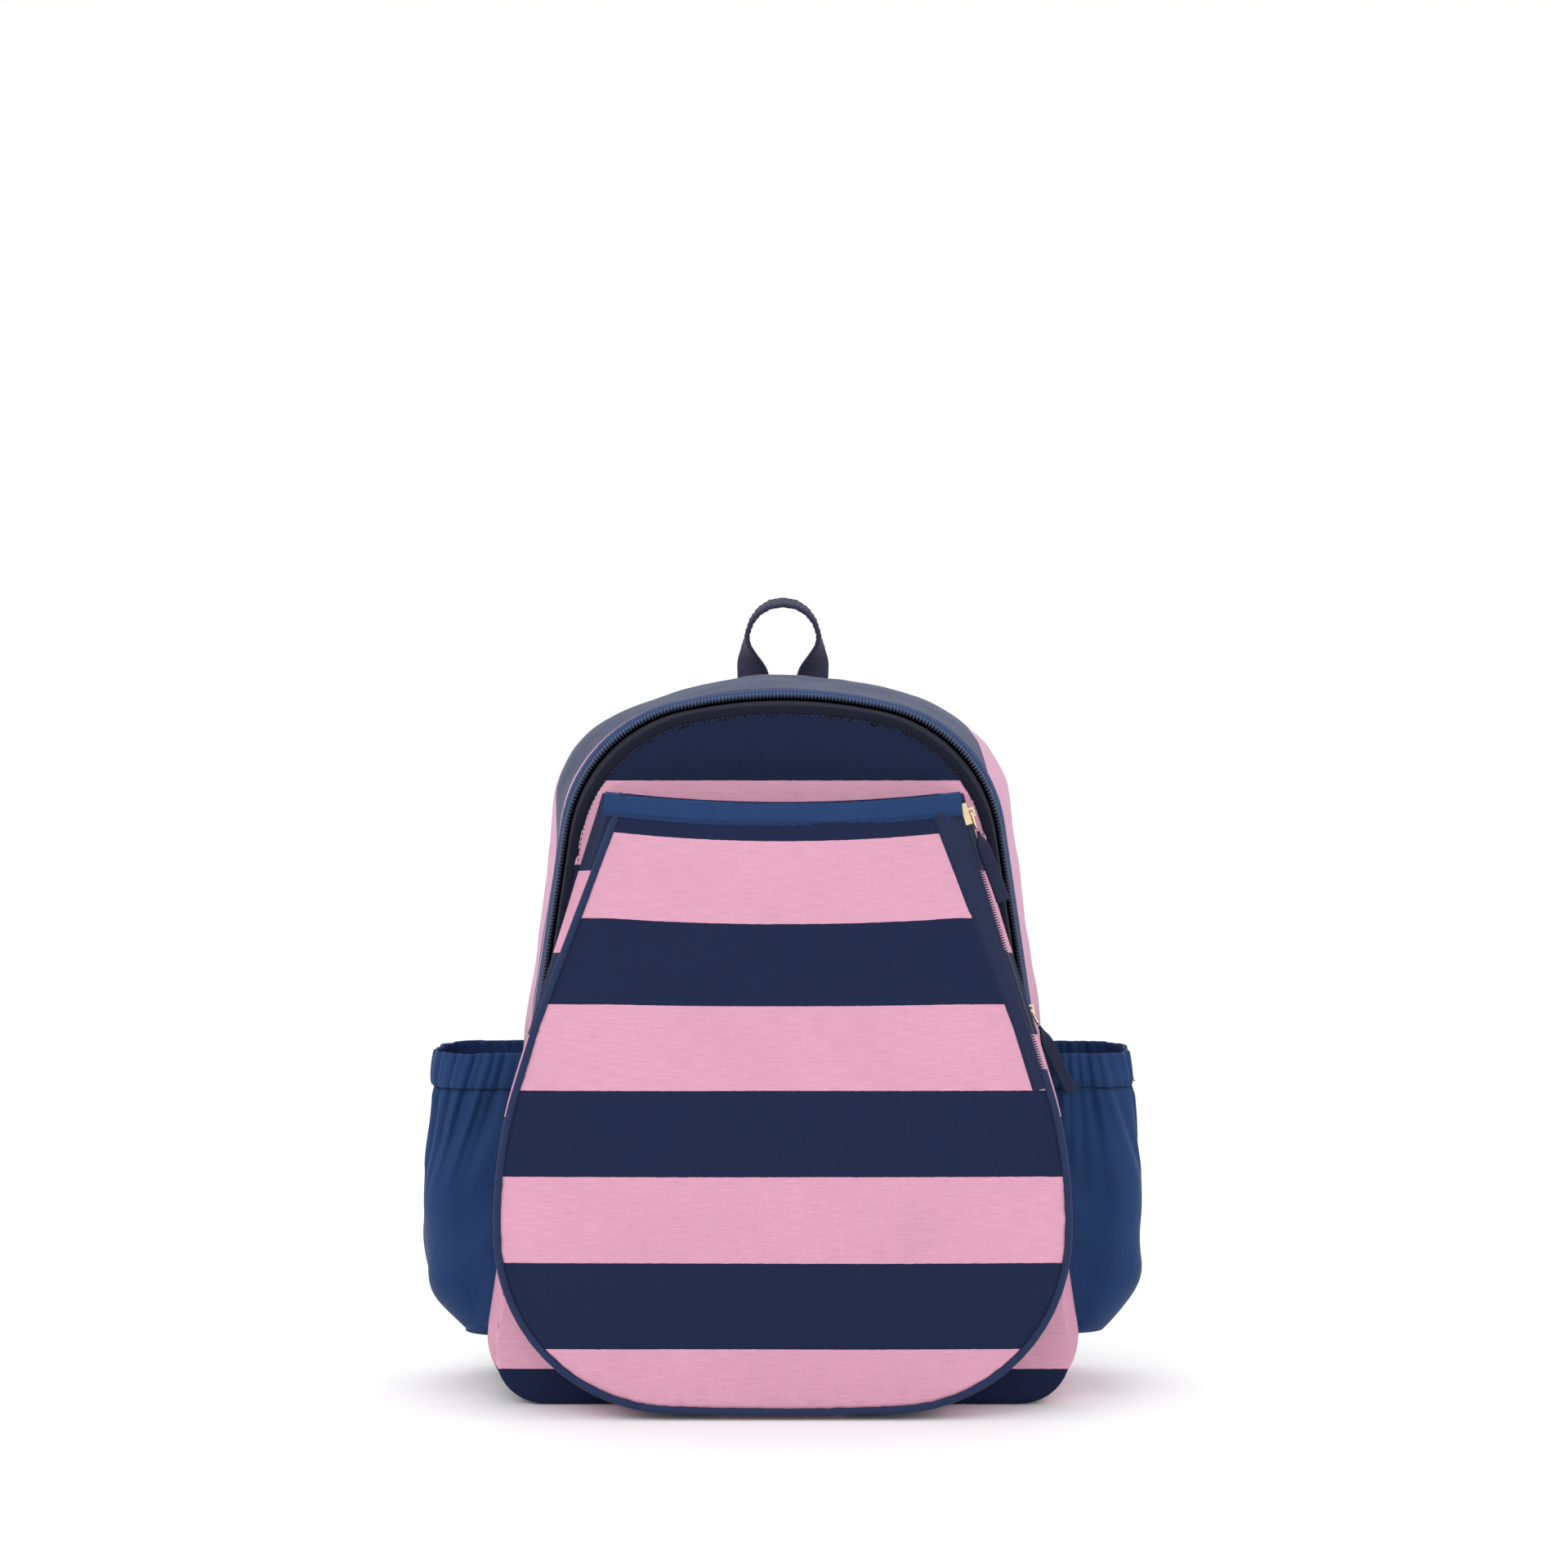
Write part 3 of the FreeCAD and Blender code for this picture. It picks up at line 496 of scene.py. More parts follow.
def twill(name, colour, roughness=0.7, sheen=0.06, pitch=0.0011):
    """Fine twill: diagonal ribs, a slight sheen, and paler threads here and there."""
    cloth = Finish(name, roughness, sheen=sheen, gloss=0.2)
    spot = cloth.flat_spot()
    ribs = cloth.ribs(spot, pitch, "DIAGONAL")
    fleck = cloth.grain(spot, (700, 700, 1), 2.0)
    patch = cloth.grain(spot, (22, 22, 1), 2.0)
    tone = cloth.shade(cloth.blend(0.0, colour, colour), ribs, 0.82, 1.16)
    tone = cloth.shade(tone, fleck, 0.86, 1.2)
    tone = cloth.shade(tone, patch, 0.93, 1.05)
    rough = cloth.ramp(fleck, 0.3, 0.7, roughness - 0.06, roughness + 0.08)
    return cloth.done(tone, ribs, 0.4, 0.0003, rough)


def webbing_finish(name, colour):
    """Flat webbing: strong ribs across, with a plain selvedge look along."""
    cloth = Finish(name, 0.75, sheen=0.06, gloss=0.2)
    spot = cloth.flat_spot()
    across = cloth.ribs(spot, 0.0016, "Y")
    along = cloth.ribs(spot, 0.0024, "X")
    fleck = cloth.grain(spot, (500, 500, 1), 2.0)
    tone = cloth.shade(cloth.blend(0.0, colour, colour), across, 0.8, 1.15)
    tone = cloth.shade(tone, fleck, 0.88, 1.12)
    height = cloth.math("ADD", across, cloth.math("MULTIPLY", along, 0.5))
    return cloth.done(tone, height, 0.6, 0.0005)


def mesh_finish(name, colour):
    """Spacer mesh: small round holes in rows, with painted shade inside them."""
    cloth = Finish(name, 0.85, sheen=0.1, gloss=0.2)
    spot = cloth.upright_spot()
    holes = cloth.add("TexVoronoi", {"Vector": cloth.stretched(spot, (300, 300, 1)), "Scale": 1.0,
                                     "Randomness": 0.15}).outputs["Distance"]
    edge = cloth.ramp(holes, 0.2, 0.45)
    # The hole centres are painted at a quarter of the mesh's brightness, as painted shade in the holes.
    dark = tuple(0.25 * part for part in colour[:3]) + (1,)
    tone = cloth.blend(edge, dark, colour)
    return cloth.done(tone, edge, 0.8, 0.0008)


def metal_finish(name, colour):
    """Light gold plating, a little dulled and finely scuffed."""
    metal = Finish(name, 0.24, metallic=1.0, coat=0.1)
    spot = metal.object_spot()
    scuff = metal.grain(spot, (900, 900, 900), 4.0)
    stain = metal.grain(spot, (120, 120, 120), 2.0)
    tone = metal.shade(metal.blend(0.0, colour, colour), stain, 0.88, 1.06)
    rough = metal.ramp(scuff, 0.3, 0.7, 0.16, 0.34)
    return metal.done(tone, scuff, 0.15, 0.00008, rough)


def plastic_finish(name, colour, roughness):
    """Moulded plastic with a fine even grain."""
    plastic = Finish(name, roughness)
    spot = plastic.object_spot()
    grain = plastic.grain(spot, (1600, 1600, 1600), 2.0)
    stain = plastic.grain(spot, (60, 60, 60), 2.0)
    tone = plastic.shade(plastic.blend(0.0, colour, colour), stain, 0.85, 1.15)
    rough = plastic.ramp(grain, 0.3, 0.7, roughness - 0.08, roughness + 0.1)
    return plastic.done(tone, grain, 0.25, 0.0001, rough)


pocket_canvas = canvas("pocket_canvas", stripes(0.0423, STRIPE_NAVY, PINK))
# The front panel's pink stripes carry painted light: a lighter pink that offsets the pocket's shade.
panel_canvas_with_painted_light = canvas("panel_canvas_with_painted_light", stripes(0.0216, PANEL_PINK_PAINTED_LIGHT, STRIPE_NAVY))
side_canvas = canvas("side_canvas", stripes(0.2725, PINK, STRIPE_NAVY))
gusset_canvas = canvas("gusset_canvas", gusset_stripe, roughness=0.7, sheen=0.28)
base_canvas = canvas("base_canvas", sill_stripe)
navy_canvas = canvas("navy_canvas", plain(DEEP_NAVY), slub=0.6)
tab_canvas = canvas("tab_canvas", plain(TAB_NAVY), slub=0.5)
strap_canvas = canvas("strap_canvas", plain(DEEP_NAVY), slub=0.5, upright=True)
lining_cloth = canvas("lining_cloth", plain(CHARCOAL), pitch=0.0008, slub=0.3)
bright_twill = twill("bright_twill", BRIGHT_NAVY)
trim_twill = twill("trim_twill", TRIM_NAVY, pitch=0.0008)
zip_cloth = twill("zip_cloth", STRIPE_NAVY, pitch=0.0007)
tape_twill = twill("tape_twill", CHARCOAL, roughness=0.85, sheen=0.0, pitch=0.0007)
strap_webbing = webbing_finish("strap_webbing", DEEP_NAVY)
handle_webbing = webbing_finish("handle_webbing", WEBBING_NAVY)
back_mesh = mesh_finish("back_mesh", MESH_NAVY)
gold = metal_finish("pale_gold", PALE_GOLD)
coil_plastic = plastic_finish("coil_nylon", COIL_GREY, 0.3)
buckle_plastic = plastic_finish("buckle_plastic", BLACK_PLASTIC, 0.45)
board_plastic = plastic_finish("board_plastic", BOARD_GREY, 0.55)
navy_thread = plastic_finish("navy_thread", THREAD_NAVY, 0.6)


# --- flat panels -------------------------------------------------------------------------

def pack_sides(seam, low=0.155, high=0.405):
    """Cut the pack's outline into base, right, top and left, for a panel's four edges."""
    count = 80
    base = SeamLine([seam.at((1 - low + 2 * low * i / count) % 1) for i in range(count + 1)])
    return base, seam.part(low, high), seam.part(1 - high, high), seam.part(1 - low, 1 - high)


def patch(sides, u, v):
    """A point of the cloth that four seam lines enclose."""
    base, right, top, left = sides
    corners = mix(mix(base.at(0), base.at(1), u), mix(top.at(0), top.at(1), u), v)
    return mix(base.at(u), top.at(u), v) + mix(left.at(v), right.at(v), u) - corners


def pillow(u, v):
    return sqrt(max(16 * u * (1 - u) * v * (1 - v), 0))


def pucker(u, v, pitch, seed):
    """Small gathers beside a panel's seams, which die out inwards."""
    near = max(0, 1 - min(u, 1 - u, v, 1 - v) / 0.07)
    return near * noise.noise(Vector(((u + v) / pitch, (u - v) / pitch, seed)))


def panel(name, sides, depth_at, columns, rows, material, body, nodes, thickness):
    def place(u, v):
        spot = patch(sides, u, v)
        return Vector((spot.x, depth_at(spot, u, v), spot.y)), spot

    shape = grid_shape(columns, rows, place)
    piece = finish_piece(shape, name, material, body, nodes)
    thicken(piece, thickness, rounds=0, offset=0.0)


def seam_stitches(name, seam, start, end, inset, y, facing, body, material, pitch=0.0034):
    """Stitches on a panel, at an even distance inside its seam."""
    count = 240
    points, outs = [], []
    for index in range(count + 1):
        share = mix(start, end, index / count)
        spot = seam.at(share) - seam.outward(share) * inset
        points.append(Vector((spot.x, y, spot.y)))
        outs.append(Vector((0, facing, 0)))
    return stitch_row(name, points, outs, body, material, pitch)


FRONT_SEAM = pack_seam(0.0)
FRONT_SIDES = pack_sides(FRONT_SEAM)
BACK_SEAM = pack_seam(1.0)
BACK_SIDES = pack_sides(BACK_SEAM)


def front_panel():
    def depth(spot, u, v):
        return FRONT - 0.0003 - 0.0016 * pillow(u, v) + 0.0006 * pucker(u, v, 0.02, 3)

    panel("front_panel_cloth", FRONT_SIDES, depth, 90, 110, panel_canvas_with_painted_light, "front_flap",
          ("front_panel",), CLOTH)

    def inside(spot, u, v):
        return FRONT + 0.0036 + 0.0006 * ripple(Vector((spot.x, 0, spot.y)), 22, 1, 5)

    inner = pack_sides(pack_seam(0.02, -0.006))
    panel("front_lining_cloth", inner, inside, 50, 60, lining_cloth, "front_flap",
          ("front_lining",), 0.0011)


def back_panel():
    def depth(spot, u, v):
        return BACK - 0.0012 + 0.0022 * pillow(u, v) + 0.0008 * pucker(u, v, 0.03, 8)

    panel("back_panel_cloth", BACK_SIDES, depth, 80, 100, navy_canvas, "pack",
          ("back_panel",), 0.0022)
    seam_stitches("back_seam_stitches", BACK_SEAM, 0.02, 0.98, 0.006, BACK + 0.0006, 1,
                  "pack", navy_thread, 0.004)
    path = pack_seam(1.0, 0.0008)
    points = [Vector((path.at(i / 260).x, BACK - 0.0016, path.at(i / 260).y)) for i in range(261)]
    shape = tube_shape([Vector((p.x, p.y, max(p.z, 0.0015))) for p in points], 0.0015, 8)
    finish_piece(shape, "back_seam_piping", trim_twill, "pack")


# --- the gusset that joins front to back --------------------------------------------

def seam_strip(name, seams, shares, depths, columns, material, body, nodes, flat_from=0.5,
               rough=0.0):
    """A strip sewn along a row of seam lines, one for each depth.

    Its flat map runs along the strip from one share of the seam, and across it from the front.
    """
    rows = len(seams) - 1
    start, end = shares
    reach = seams[0].length

    def place(u, v):
        row = int(round(v * rows))
        share = mix(start, end, u) % 1.0 if end - start < 1 else mix(start, end, u)
        spot = seams[row].at(share)
        point = Vector((spot.x, depths[row], spot.y))
        if rough:
            out = seams[row].outward(share)
            push = ripple(point, 17, rough, 11) + ripple(point, 52, rough * 0.35, 4)
            push *= sin(pi * v) if spot.y > 0.012 else 0
            point += Vector((out.x, 0, out.y)) * push
        return point, ((flat_from - mix(start, end, u)) * reach, depths[row] - depths[0])

    shape = grid_shape(columns, rows, place, wrap=end - start >= 1)
    face_outwards(shape, MIDDLE_POINT)
    piece = finish_piece(shape, name, material, body, nodes)
    thicken(piece, CLOTH, rounds=0)


def body_gusset():
    rows = 30
    levels = [mix(0.2, 0.978, i / rows) for i in range(rows + 1)]
    seams = [pack_seam(level, gusset_bulge(level)) for level in levels]
    depths = [FRONT + DEPTH * level for level in levels]
    seam_strip("body_gusset", seams, (0, 1), depths, 420, gusset_canvas, "pack",
               ("top_gusset", "left_gusset", "right_gusset", "bottom_gusset"),
               rough=0.0028)


def base_sill():
    reach = share_at_height(FRONT_SEAM, 0.087, 0, 0.3)
    levels = [mix(0.02, 0.2, i / 6) for i in range(7)]
    seams = [pack_seam(level, mix(0, 0.0066, smooth(level / 0.2))) for level in levels]
    depths = [FRONT + DEPTH * level for level in levels]
    seam_strip("base_sill", seams, (-reach, reach), depths, 160, base_canvas, "pack",
               ("bottom_sill",), flat_from=0.0)


# --- zips ----------------------------------------------------------------------------

ZIP_LOW = share_at_height(FRONT_SEAM, 0.085, 0, 0.3)


def share_of_depth(y):
    return max(0, (y - FRONT) / DEPTH)


def zip_tape(name, outsets, depths, material, body, node, wave=0.0):
    """A zip's tape, folded from the panel's face over its edge and back along the gusset."""
    seams = [pack_seam(share_of_depth(y), outset) for outset, y in zip(outsets, depths)]
    rows = len(seams) - 1

    def place(u, v):
        row = int(round(v * rows))
        share = mix(ZIP_LOW, 1 - ZIP_LOW, u)
        spot = seams[row].at(share)
        out = seams[row].outward(share)
        if outsets[row] < 0:
            shift = wave * noise.noise(Vector((u * 75, 2.5, 0)))
            narrow = 0.75 * smooth((0.35 - spot.y) / 0.09)
            spot = spot + out * (shift - outsets[row] * narrow)
        return Vector((spot.x, depths[row], spot.y)), (u * seams[0].length, row * 0.003)

    shape = grid_shape(420, rows, place)
    face_outwards(shape, MIDDLE_POINT)
    piece = finish_piece(shape, name, material, body, (node,))
    thicken(piece, 0.0007, rounds=0, offset=1.0)


def tooth(unit):
    """One turn of a nylon coil, as a flattened bead."""
    bmesh.ops.create_uvsphere(unit, u_segments=6, v_segments=4, radius=0.5)


def coil(name, seam, shares, y, pitch, stagger, size, lift, body, node):
    """One side of a zip: a row of teeth along a seam, shifted by a share of the pitch."""
    start, end = shares
    count = int(seam.length * abs(end - start) / pitch)
    spots = []
    for index in range(count):
        share = mix(start, end, (index + 0.5 + stagger) / (count + 1))
        out = seam.outward(share)
        along = seam.at(share + 0.001) - seam.at(share - 0.001)
        spot = seam.at(share) + out * lift
        matrix = frame_at(Vector((spot.x, y, spot.y)), Vector((along.x, 0, along.y)),
                          Vector((out.x, 0, out.y)))
        spots.append(matrix @ Matrix.Diagonal((pitch * 0.62, size[0], size[1], 1)))
    return repeated(name, spots, tooth, coil_plastic, body, (node,))


def main_zip():
    zip_tape("flap_zip_tape_cloth", (-0.0078, -0.0035, 0.0002, 0.0010, 0.0012, 0.0012),
             (FRONT - 0.0012, FRONT - 0.0016, FRONT - 0.0013, FRONT + 0.0008, FRONT + 0.006,
              FRONT + 0.0132), tape_twill, "front_flap", "flap_zip_tape", wave=0.0005)
    zip_tape("body_zip_tape_cloth", (0.0028, 0.0046, 0.0060, 0.0068),
             (FRONT + 0.0180, FRONT + 0.0200, FRONT + 0.0235, FRONT + 0.0272),
             bright_twill, "pack", "body_zip_tape")
    shares = (ZIP_LOW, 1 - ZIP_LOW)
    for name, y, stagger, body, node in (
            ("flap_zip_teeth", FRONT + 0.0143, 0.0, "front_flap", "flap_zip_coil"),
            ("body_zip_teeth", FRONT + 0.0168, 0.5, "pack", "body_zip_coil")):
        seam = pack_seam(share_of_depth(y), 0.0012)
        coil(name, seam, shares, y, 0.0021, stagger, (0.0030, 0.0040), 0.0027, body, node)
    low = share_at_height(FRONT_SEAM, 0.27, 0, 0.4)
    seam_stitches("flap_zip_stitches", FRONT_SEAM, low, 1 - low, 0.0055, FRONT - 0.0022, -1,
                  "front_flap", navy_thread, 0.0032)


# --- the racket pocket ----------------------------------------------------------------

TUCK = 0.009
POCKET_SEAM = pocket_seam(tuck=TUCK)
MOUTH_SAG = 0.006


def mouth_dip(x):
    return MOUTH_SAG * (1 - (x / (MOUTH_WIDTH / 2)) ** 2)


def pocket_sides(seam, corner=0.16):
    left, right = seam.at(0), seam.at(1)
    count = 40
    top = []
    for index in range(count + 1):
        x = mix(left.x, right.x, index / count)
        top.append(Vector((x, left.y - mouth_dip(x))))
    return (seam.part(0.5 - corner, 0.5 + corner), seam.part(0.5 + corner, 1), SeamLine(top),
            seam.part(0.5 - corner, 0))


def pocket_front():
    sides = pocket_sides(POCKET_SEAM)

    def place(u, v):
        spot = patch(sides, u, v)
        sag = max(mouth_dip(spot.x), 0) * smooth((spot.y - 0.2) / 0.17)
        point = Vector((spot.x, POCKET, spot.y))
        point.y -= 0.0003 + 0.0035 * pillow(u, v)
        point.y -= ripple(point, 9, 0.0022, 2) * pillow(u, v)
        point.y -= ripple(point, 33, 0.0004, 6) + 0.0007 * pucker(u, v, 0.022, 1)
        return point, (spot.x, spot.y + sag)

    shape = grid_shape(130, 140, place)
    piece = finish_piece(shape, "pocket_front_cloth", pocket_canvas, "front_flap",
                         ("pocket_front",))
    thicken(piece, CLOTH, rounds=0)


def pocket_gusset():
    rows = 16
    depths = [POCKET + 0.0014 + (FRONT - POCKET - 0.0014) * i / rows for i in range(rows + 1)]
    flares = [FLARE * smooth((i / rows - 0.45) / 0.55) for i in range(rows + 1)]
    tucks = [TUCK * (1 - smooth(i / rows / 0.14)) for i in range(rows + 1)]
    seams = [pocket_seam(flare, tuck) for flare, tuck in zip(flares, tucks)]
    base = seams[0].length

    def place(u, v):
        row = int(round(v * rows))
        spot = seams[row].at(u)
        out = seams[row].outward(u)
        point = Vector((spot.x, depths[row], spot.y))
        push = (ripple(point, 21, 0.0022, 9) + ripple(point, 60, 0.0006, 3)) * sin(pi * v)
        if spot.y < 0.012:
            push = min(push, 0)
        point -= Vector((out.x, 0, out.y)) * push
        climb = abs(u - 0.5) * base
        return point, (depths[row], climb - 0.5 * base + 0.372)

    shape = grid_shape(260, rows, place)
    face_outwards(shape, Vector((0, -0.09, 0.2)))
    piece = finish_piece(shape, "pocket_gusset", side_canvas, "front_flap",
                         ("pocket_left_gusset", "pocket_right_gusset", "pocket_bottom_gusset"))
    thicken(piece, CLOTH, rounds=0)


def fold_strip(name, points, profile, material, body, nodes, thickness, outer=None):
    """A strip whose section, a list of (in, y) steps, is carried along a seam line.

    Steps outside the seam may follow a second line, where the cloth is wider than its fold.
    """
    line = SeamLine(points)
    rows = len(profile) - 1
    across = [0.0]
    for first, second in zip(profile, profile[1:]):
        across.append(across[-1] + sqrt((first[0] - second[0]) ** 2 + (first[1] - second[1]) ** 2))

    def place(u, v):
        row = int(round(v * rows))
        inset, y = profile[row]
        edge = outer if outer and inset < 0 else line
        spot = edge.at(u) - edge.outward(u) * inset
        return Vector((spot.x, y, spot.y)), (u * line.length, across[row])

    shape = grid_shape(200, rows, place)
    piece = finish_piece(shape, name, material, body, nodes)
    thicken(piece, thickness, rounds=0, offset=0.0)


def mouth_binding():
    half = MOUTH_WIDTH / 2 + 0.0035
    points = [Vector((mix(half, -half, i / 100), POCKET_HEIGHT - mouth_dip(mix(half, -half, i / 100))))
              for i in range(101)]
    front = POCKET - 0.0012
    profile = [(0.0134, front + 0.0002), (0.0090, front - 0.0004), (0.0045, front - 0.0004),
               (0.0008, front), (-0.0004, POCKET + 0.0006), (0.0008, POCKET + 0.0019),
               (0.0060, POCKET + 0.0021), (0.0132, POCKET + 0.0018)]
    fold_strip("mouth_binding_cloth", points, profile, bright_twill, "front_flap",
               ("pocket_mouth_binding",), 0.0008)
    low = [Vector((p.x, front - 0.0006, p.y - 0.0116)) for p in points]
    stitch_row("mouth_stitches", low, [Vector((0, -1, 0))], "front_flap", navy_thread, 0.0030)


ZIP_TOP = share_at_height(POCKET_SEAM, 0.366, 0.8, 1.0)
ZIP_BASE = share_at_height(POCKET_SEAM, 0.197, 0.6, 1.0)


def pocket_piping():
    path = pocket_seam(0.0018, TUCK)
    points = []
    for index in range(301):
        spot = path.at(mix(0.0, ZIP_BASE + 0.012, index / 300))
        points.append(Vector((spot.x, POCKET + 0.0006, max(spot.y, 0.0030))))
    shape = tube_shape(points, 0.0024, 12)
    finish_piece(shape, "pocket_piping_cloth", trim_twill, "front_flap", ("pocket_piping",))


def pocket_zip():
    part = POCKET_SEAM.part(ZIP_BASE, ZIP_TOP + 0.004)
    points = [part.at(i / 120) for i in range(121)]
    face = POCKET - 0.0011
    profile = [(0.0078, face), (0.0035, face - 0.0004), (0.0002, face), (-0.0008, face + 0.002),
               (-0.0010, face + 0.008), (-0.0010, face + 0.020)]
    fold_strip("pocket_zip_tape_cloth", points, profile, zip_cloth, "front_flap",
               ("pocket_zip_tape",), 0.0007,
               outer=pocket_seam().part(ZIP_BASE, ZIP_TOP + 0.004))
    coil("pocket_zip_teeth", pocket_seam(), (ZIP_BASE + 0.004, ZIP_TOP), -0.1034, 0.0016, 0.0,
         (0.0052, 0.0032), 0.0024, "front_flap", "pocket_zip_coil")
    inset = [Vector((part.at(i / 120).x, face - 0.0006, part.at(i / 120).y)) for i in range(121)]
    inset = [point - Vector((0.0052, 0, -0.0014)) for point in inset]
    stitch_row("pocket_zip_stitches", inset, [Vector((0, -1, 0))], "front_flap", navy_thread, 0.003)


# --- the two side pockets ----------------------------------------------------------------

CUP_LOW = 0.036
CUP_HEIGHT = 0.175
CUP_REACH = 0.224
CUP_MIDDLE = FRONT + DEPTH * 0.59
HEM = 0.022


def body_side(z, y):
    """How far out the gusset stands at a height and a depth, on the right."""
    share = (y - FRONT) / DEPTH
    out = gusset_bulge(share)
    base_x = mix(0.479, 0.5, share) * PACK_WIDTH + out
    top_x = mix(0.315, 0.367, share) * PACK_WIDTH + out * 0.9
    return mix(base_x, top_x, z / (0.91 * PACK_HEIGHT))


def cup_swell(share, low, high):
    """A side pocket's size at a share of its height, against its fullest size."""
    if share < 0.6:
        return mix(low, 1.0, sin(min(share / 0.26, 1) * pi / 2))
    return mix(1.0, high, (share - 0.6) / 0.4)


def cup_path(share):
    """The plan of a side pocket at a share of its height, from its front edge to its back."""
    z = CUP_LOW + CUP_HEIGHT * share
    span = DEPTH * 0.385 * cup_swell(share, 0.8, 0.96)
    side = CUP_REACH * cup_swell(share, 0.885, 0.966)
    near, far = CUP_MIDDLE - span, CUP_MIDDLE + span
    corners = [(body_side(z, near) - 0.0003, near, None), (side, near, 0.022), (side, far, 0.022),
               (body_side(z, far) - 0.0003, far, None)]
    return SeamLine(rounded(corners, closed=False, steps=10))


def side_cup(mirror):
    side = "left" if mirror < 0 else "right"
    seed = 3 if mirror < 0 else 8
    rows = 56
    columns = 240
    paths = [cup_path(i / rows) for i in range(rows + 1)]

    def gathers(along, share):
        """Pleats drawn up by the elastic in the hem, which fan out and fade below it."""
        top = smooth((share - 0.42) / 0.45)
        fan = along + (1 - share) * 0.035 * sin(along * 46 + seed)
        pleat = sin(fan * 2 * pi / 0.0155 + 1.6 * sin(along * 61 + seed))
        crease = sin(fan * 2 * pi / 0.0068 + 2.1 * sin(along * 83 - seed))
        flat = 1 - 0.55 * smooth((share - 0.85) / 0.04)
        return (pleat * 0.0017 * flat + crease * 0.0006) * top

    def cloth(u, share):
        row = int(round(share * rows))
        path = paths[row]
        spot = path.at(u)
        out = path.outward(u)
        along = u * path.length
        z = CUP_LOW + CUP_HEIGHT * share
        point = Vector((spot.x, spot.y, z))
        edge = smooth(min(u, 1 - u) / 0.10)
        push = gathers(along, share)
        push += ripple(point, 21, 0.0058, seed) * (1 - 0.5 * share)
        diagonal = along * 34 + share * 7.5
        push += 0.0024 * sin(diagonal * 2.1 + seed) * sin(pi * share) * (1 - share)
        push *= edge
        push -= 0.0013 * bump(share, 0.868, 0.020)
        point += Vector((out.x, out.y, 0)) * push
        point.x *= mirror
        point.z += 0.0015 * noise.noise(Vector((along * 40, seed, 0))) * smooth((share - 0.9) / 0.1)
        return point, (along, z)

    low_share = 1 - HEM / CUP_HEIGHT
    wall = grid_shape(columns, rows, lambda u, v: cloth(u, round(v * low_share * rows) / rows))
    bmesh.ops.remove_doubles(wall, verts=wall.verts, dist=1e-7)
    face_outwards(wall, Vector((mirror * 0.17, CUP_MIDDLE, 0.12)))
    piece = finish_piece(wall, side + "_pocket_cloth", bright_twill, "pack",
                         (side + "_side_pocket",))
    thicken(piece, CLOTH, rounds=0)

    def floor_point(u, v):
        edge, spot = cloth(u, 0.0)
        y = mix(paths[0].at(0).y, paths[0].at(1).y, u)
        inner = Vector((mirror * (body_side(CUP_LOW, y) - 0.0006), y, CUP_LOW))
        return edge.lerp(inner, v), (spot[0], spot[1] - v * 0.04)

    floor = grid_shape(columns, 6, floor_point)
    face_outwards(floor, Vector((mirror * 0.19, CUP_MIDDLE, 0.2)))
    base = finish_piece(floor, side + "_pocket_floor", bright_twill, "pack")
    thicken(base, CLOTH, rounds=0)

    def hem_point(u, v):
        share = round(mix(low_share, 1, v) * rows) / rows
        point, spot = cloth(u, share)
        path = paths[int(round(share * rows))]
        out = path.outward(u)
        point += Vector((out.x * mirror, out.y, 0)) * (0.0004 + 0.0005 * sin(pi * v))
        return point, spot

    hem = grid_shape(columns, 7, hem_point)
    face_outwards(hem, Vector((mirror * 0.17, CUP_MIDDLE, 0.12)))
    top = finish_piece(hem, side + "_hem_cloth", bright_twill, "pack",
                       (side + "_pocket_hem",))
    thicken(top, 0.0018, rounds=1)
    points, outs = [], []
    for index in range(241):
        u = 0.01 + 0.98 * index / 240
        point, spot = cloth(u, round(0.885 * rows) / rows)
        out = paths[int(round(0.885 * rows))].outward(u)
        out = Vector((out.x * mirror, out.y, 0))
        points.append(point + out * 0.0013)
        outs.append(out)
    stitch_row(side + "_hem_stitches", points, outs, "pack", navy_thread, 0.0034, 0.0003)


# --- straps and webbing ----------------------------------------------------------------

def band(name, points, acrosses, width, thickness, material, body, nodes=(),
         rounds=1, columns=6):
    """A flat strap along a line of points, each with the direction of its width."""
    reached = [0.0]
    for first, second in zip(points, points[1:]):
        reached.append(reached[-1] + (second - first).length)
    rows = len(points) - 1

    def place(u, v):
        row = int(round(v * rows))
        across = acrosses[row].normalized()
        return points[row] + across * (u - 0.5) * width, ((u - 0.5) * width, reached[row])

    shape = grid_shape(columns, rows, place)
    piece = finish_piece(shape, name, material, body, nodes)
    thicken(piece, thickness, rounds=rounds, offset=0.0)
    return piece


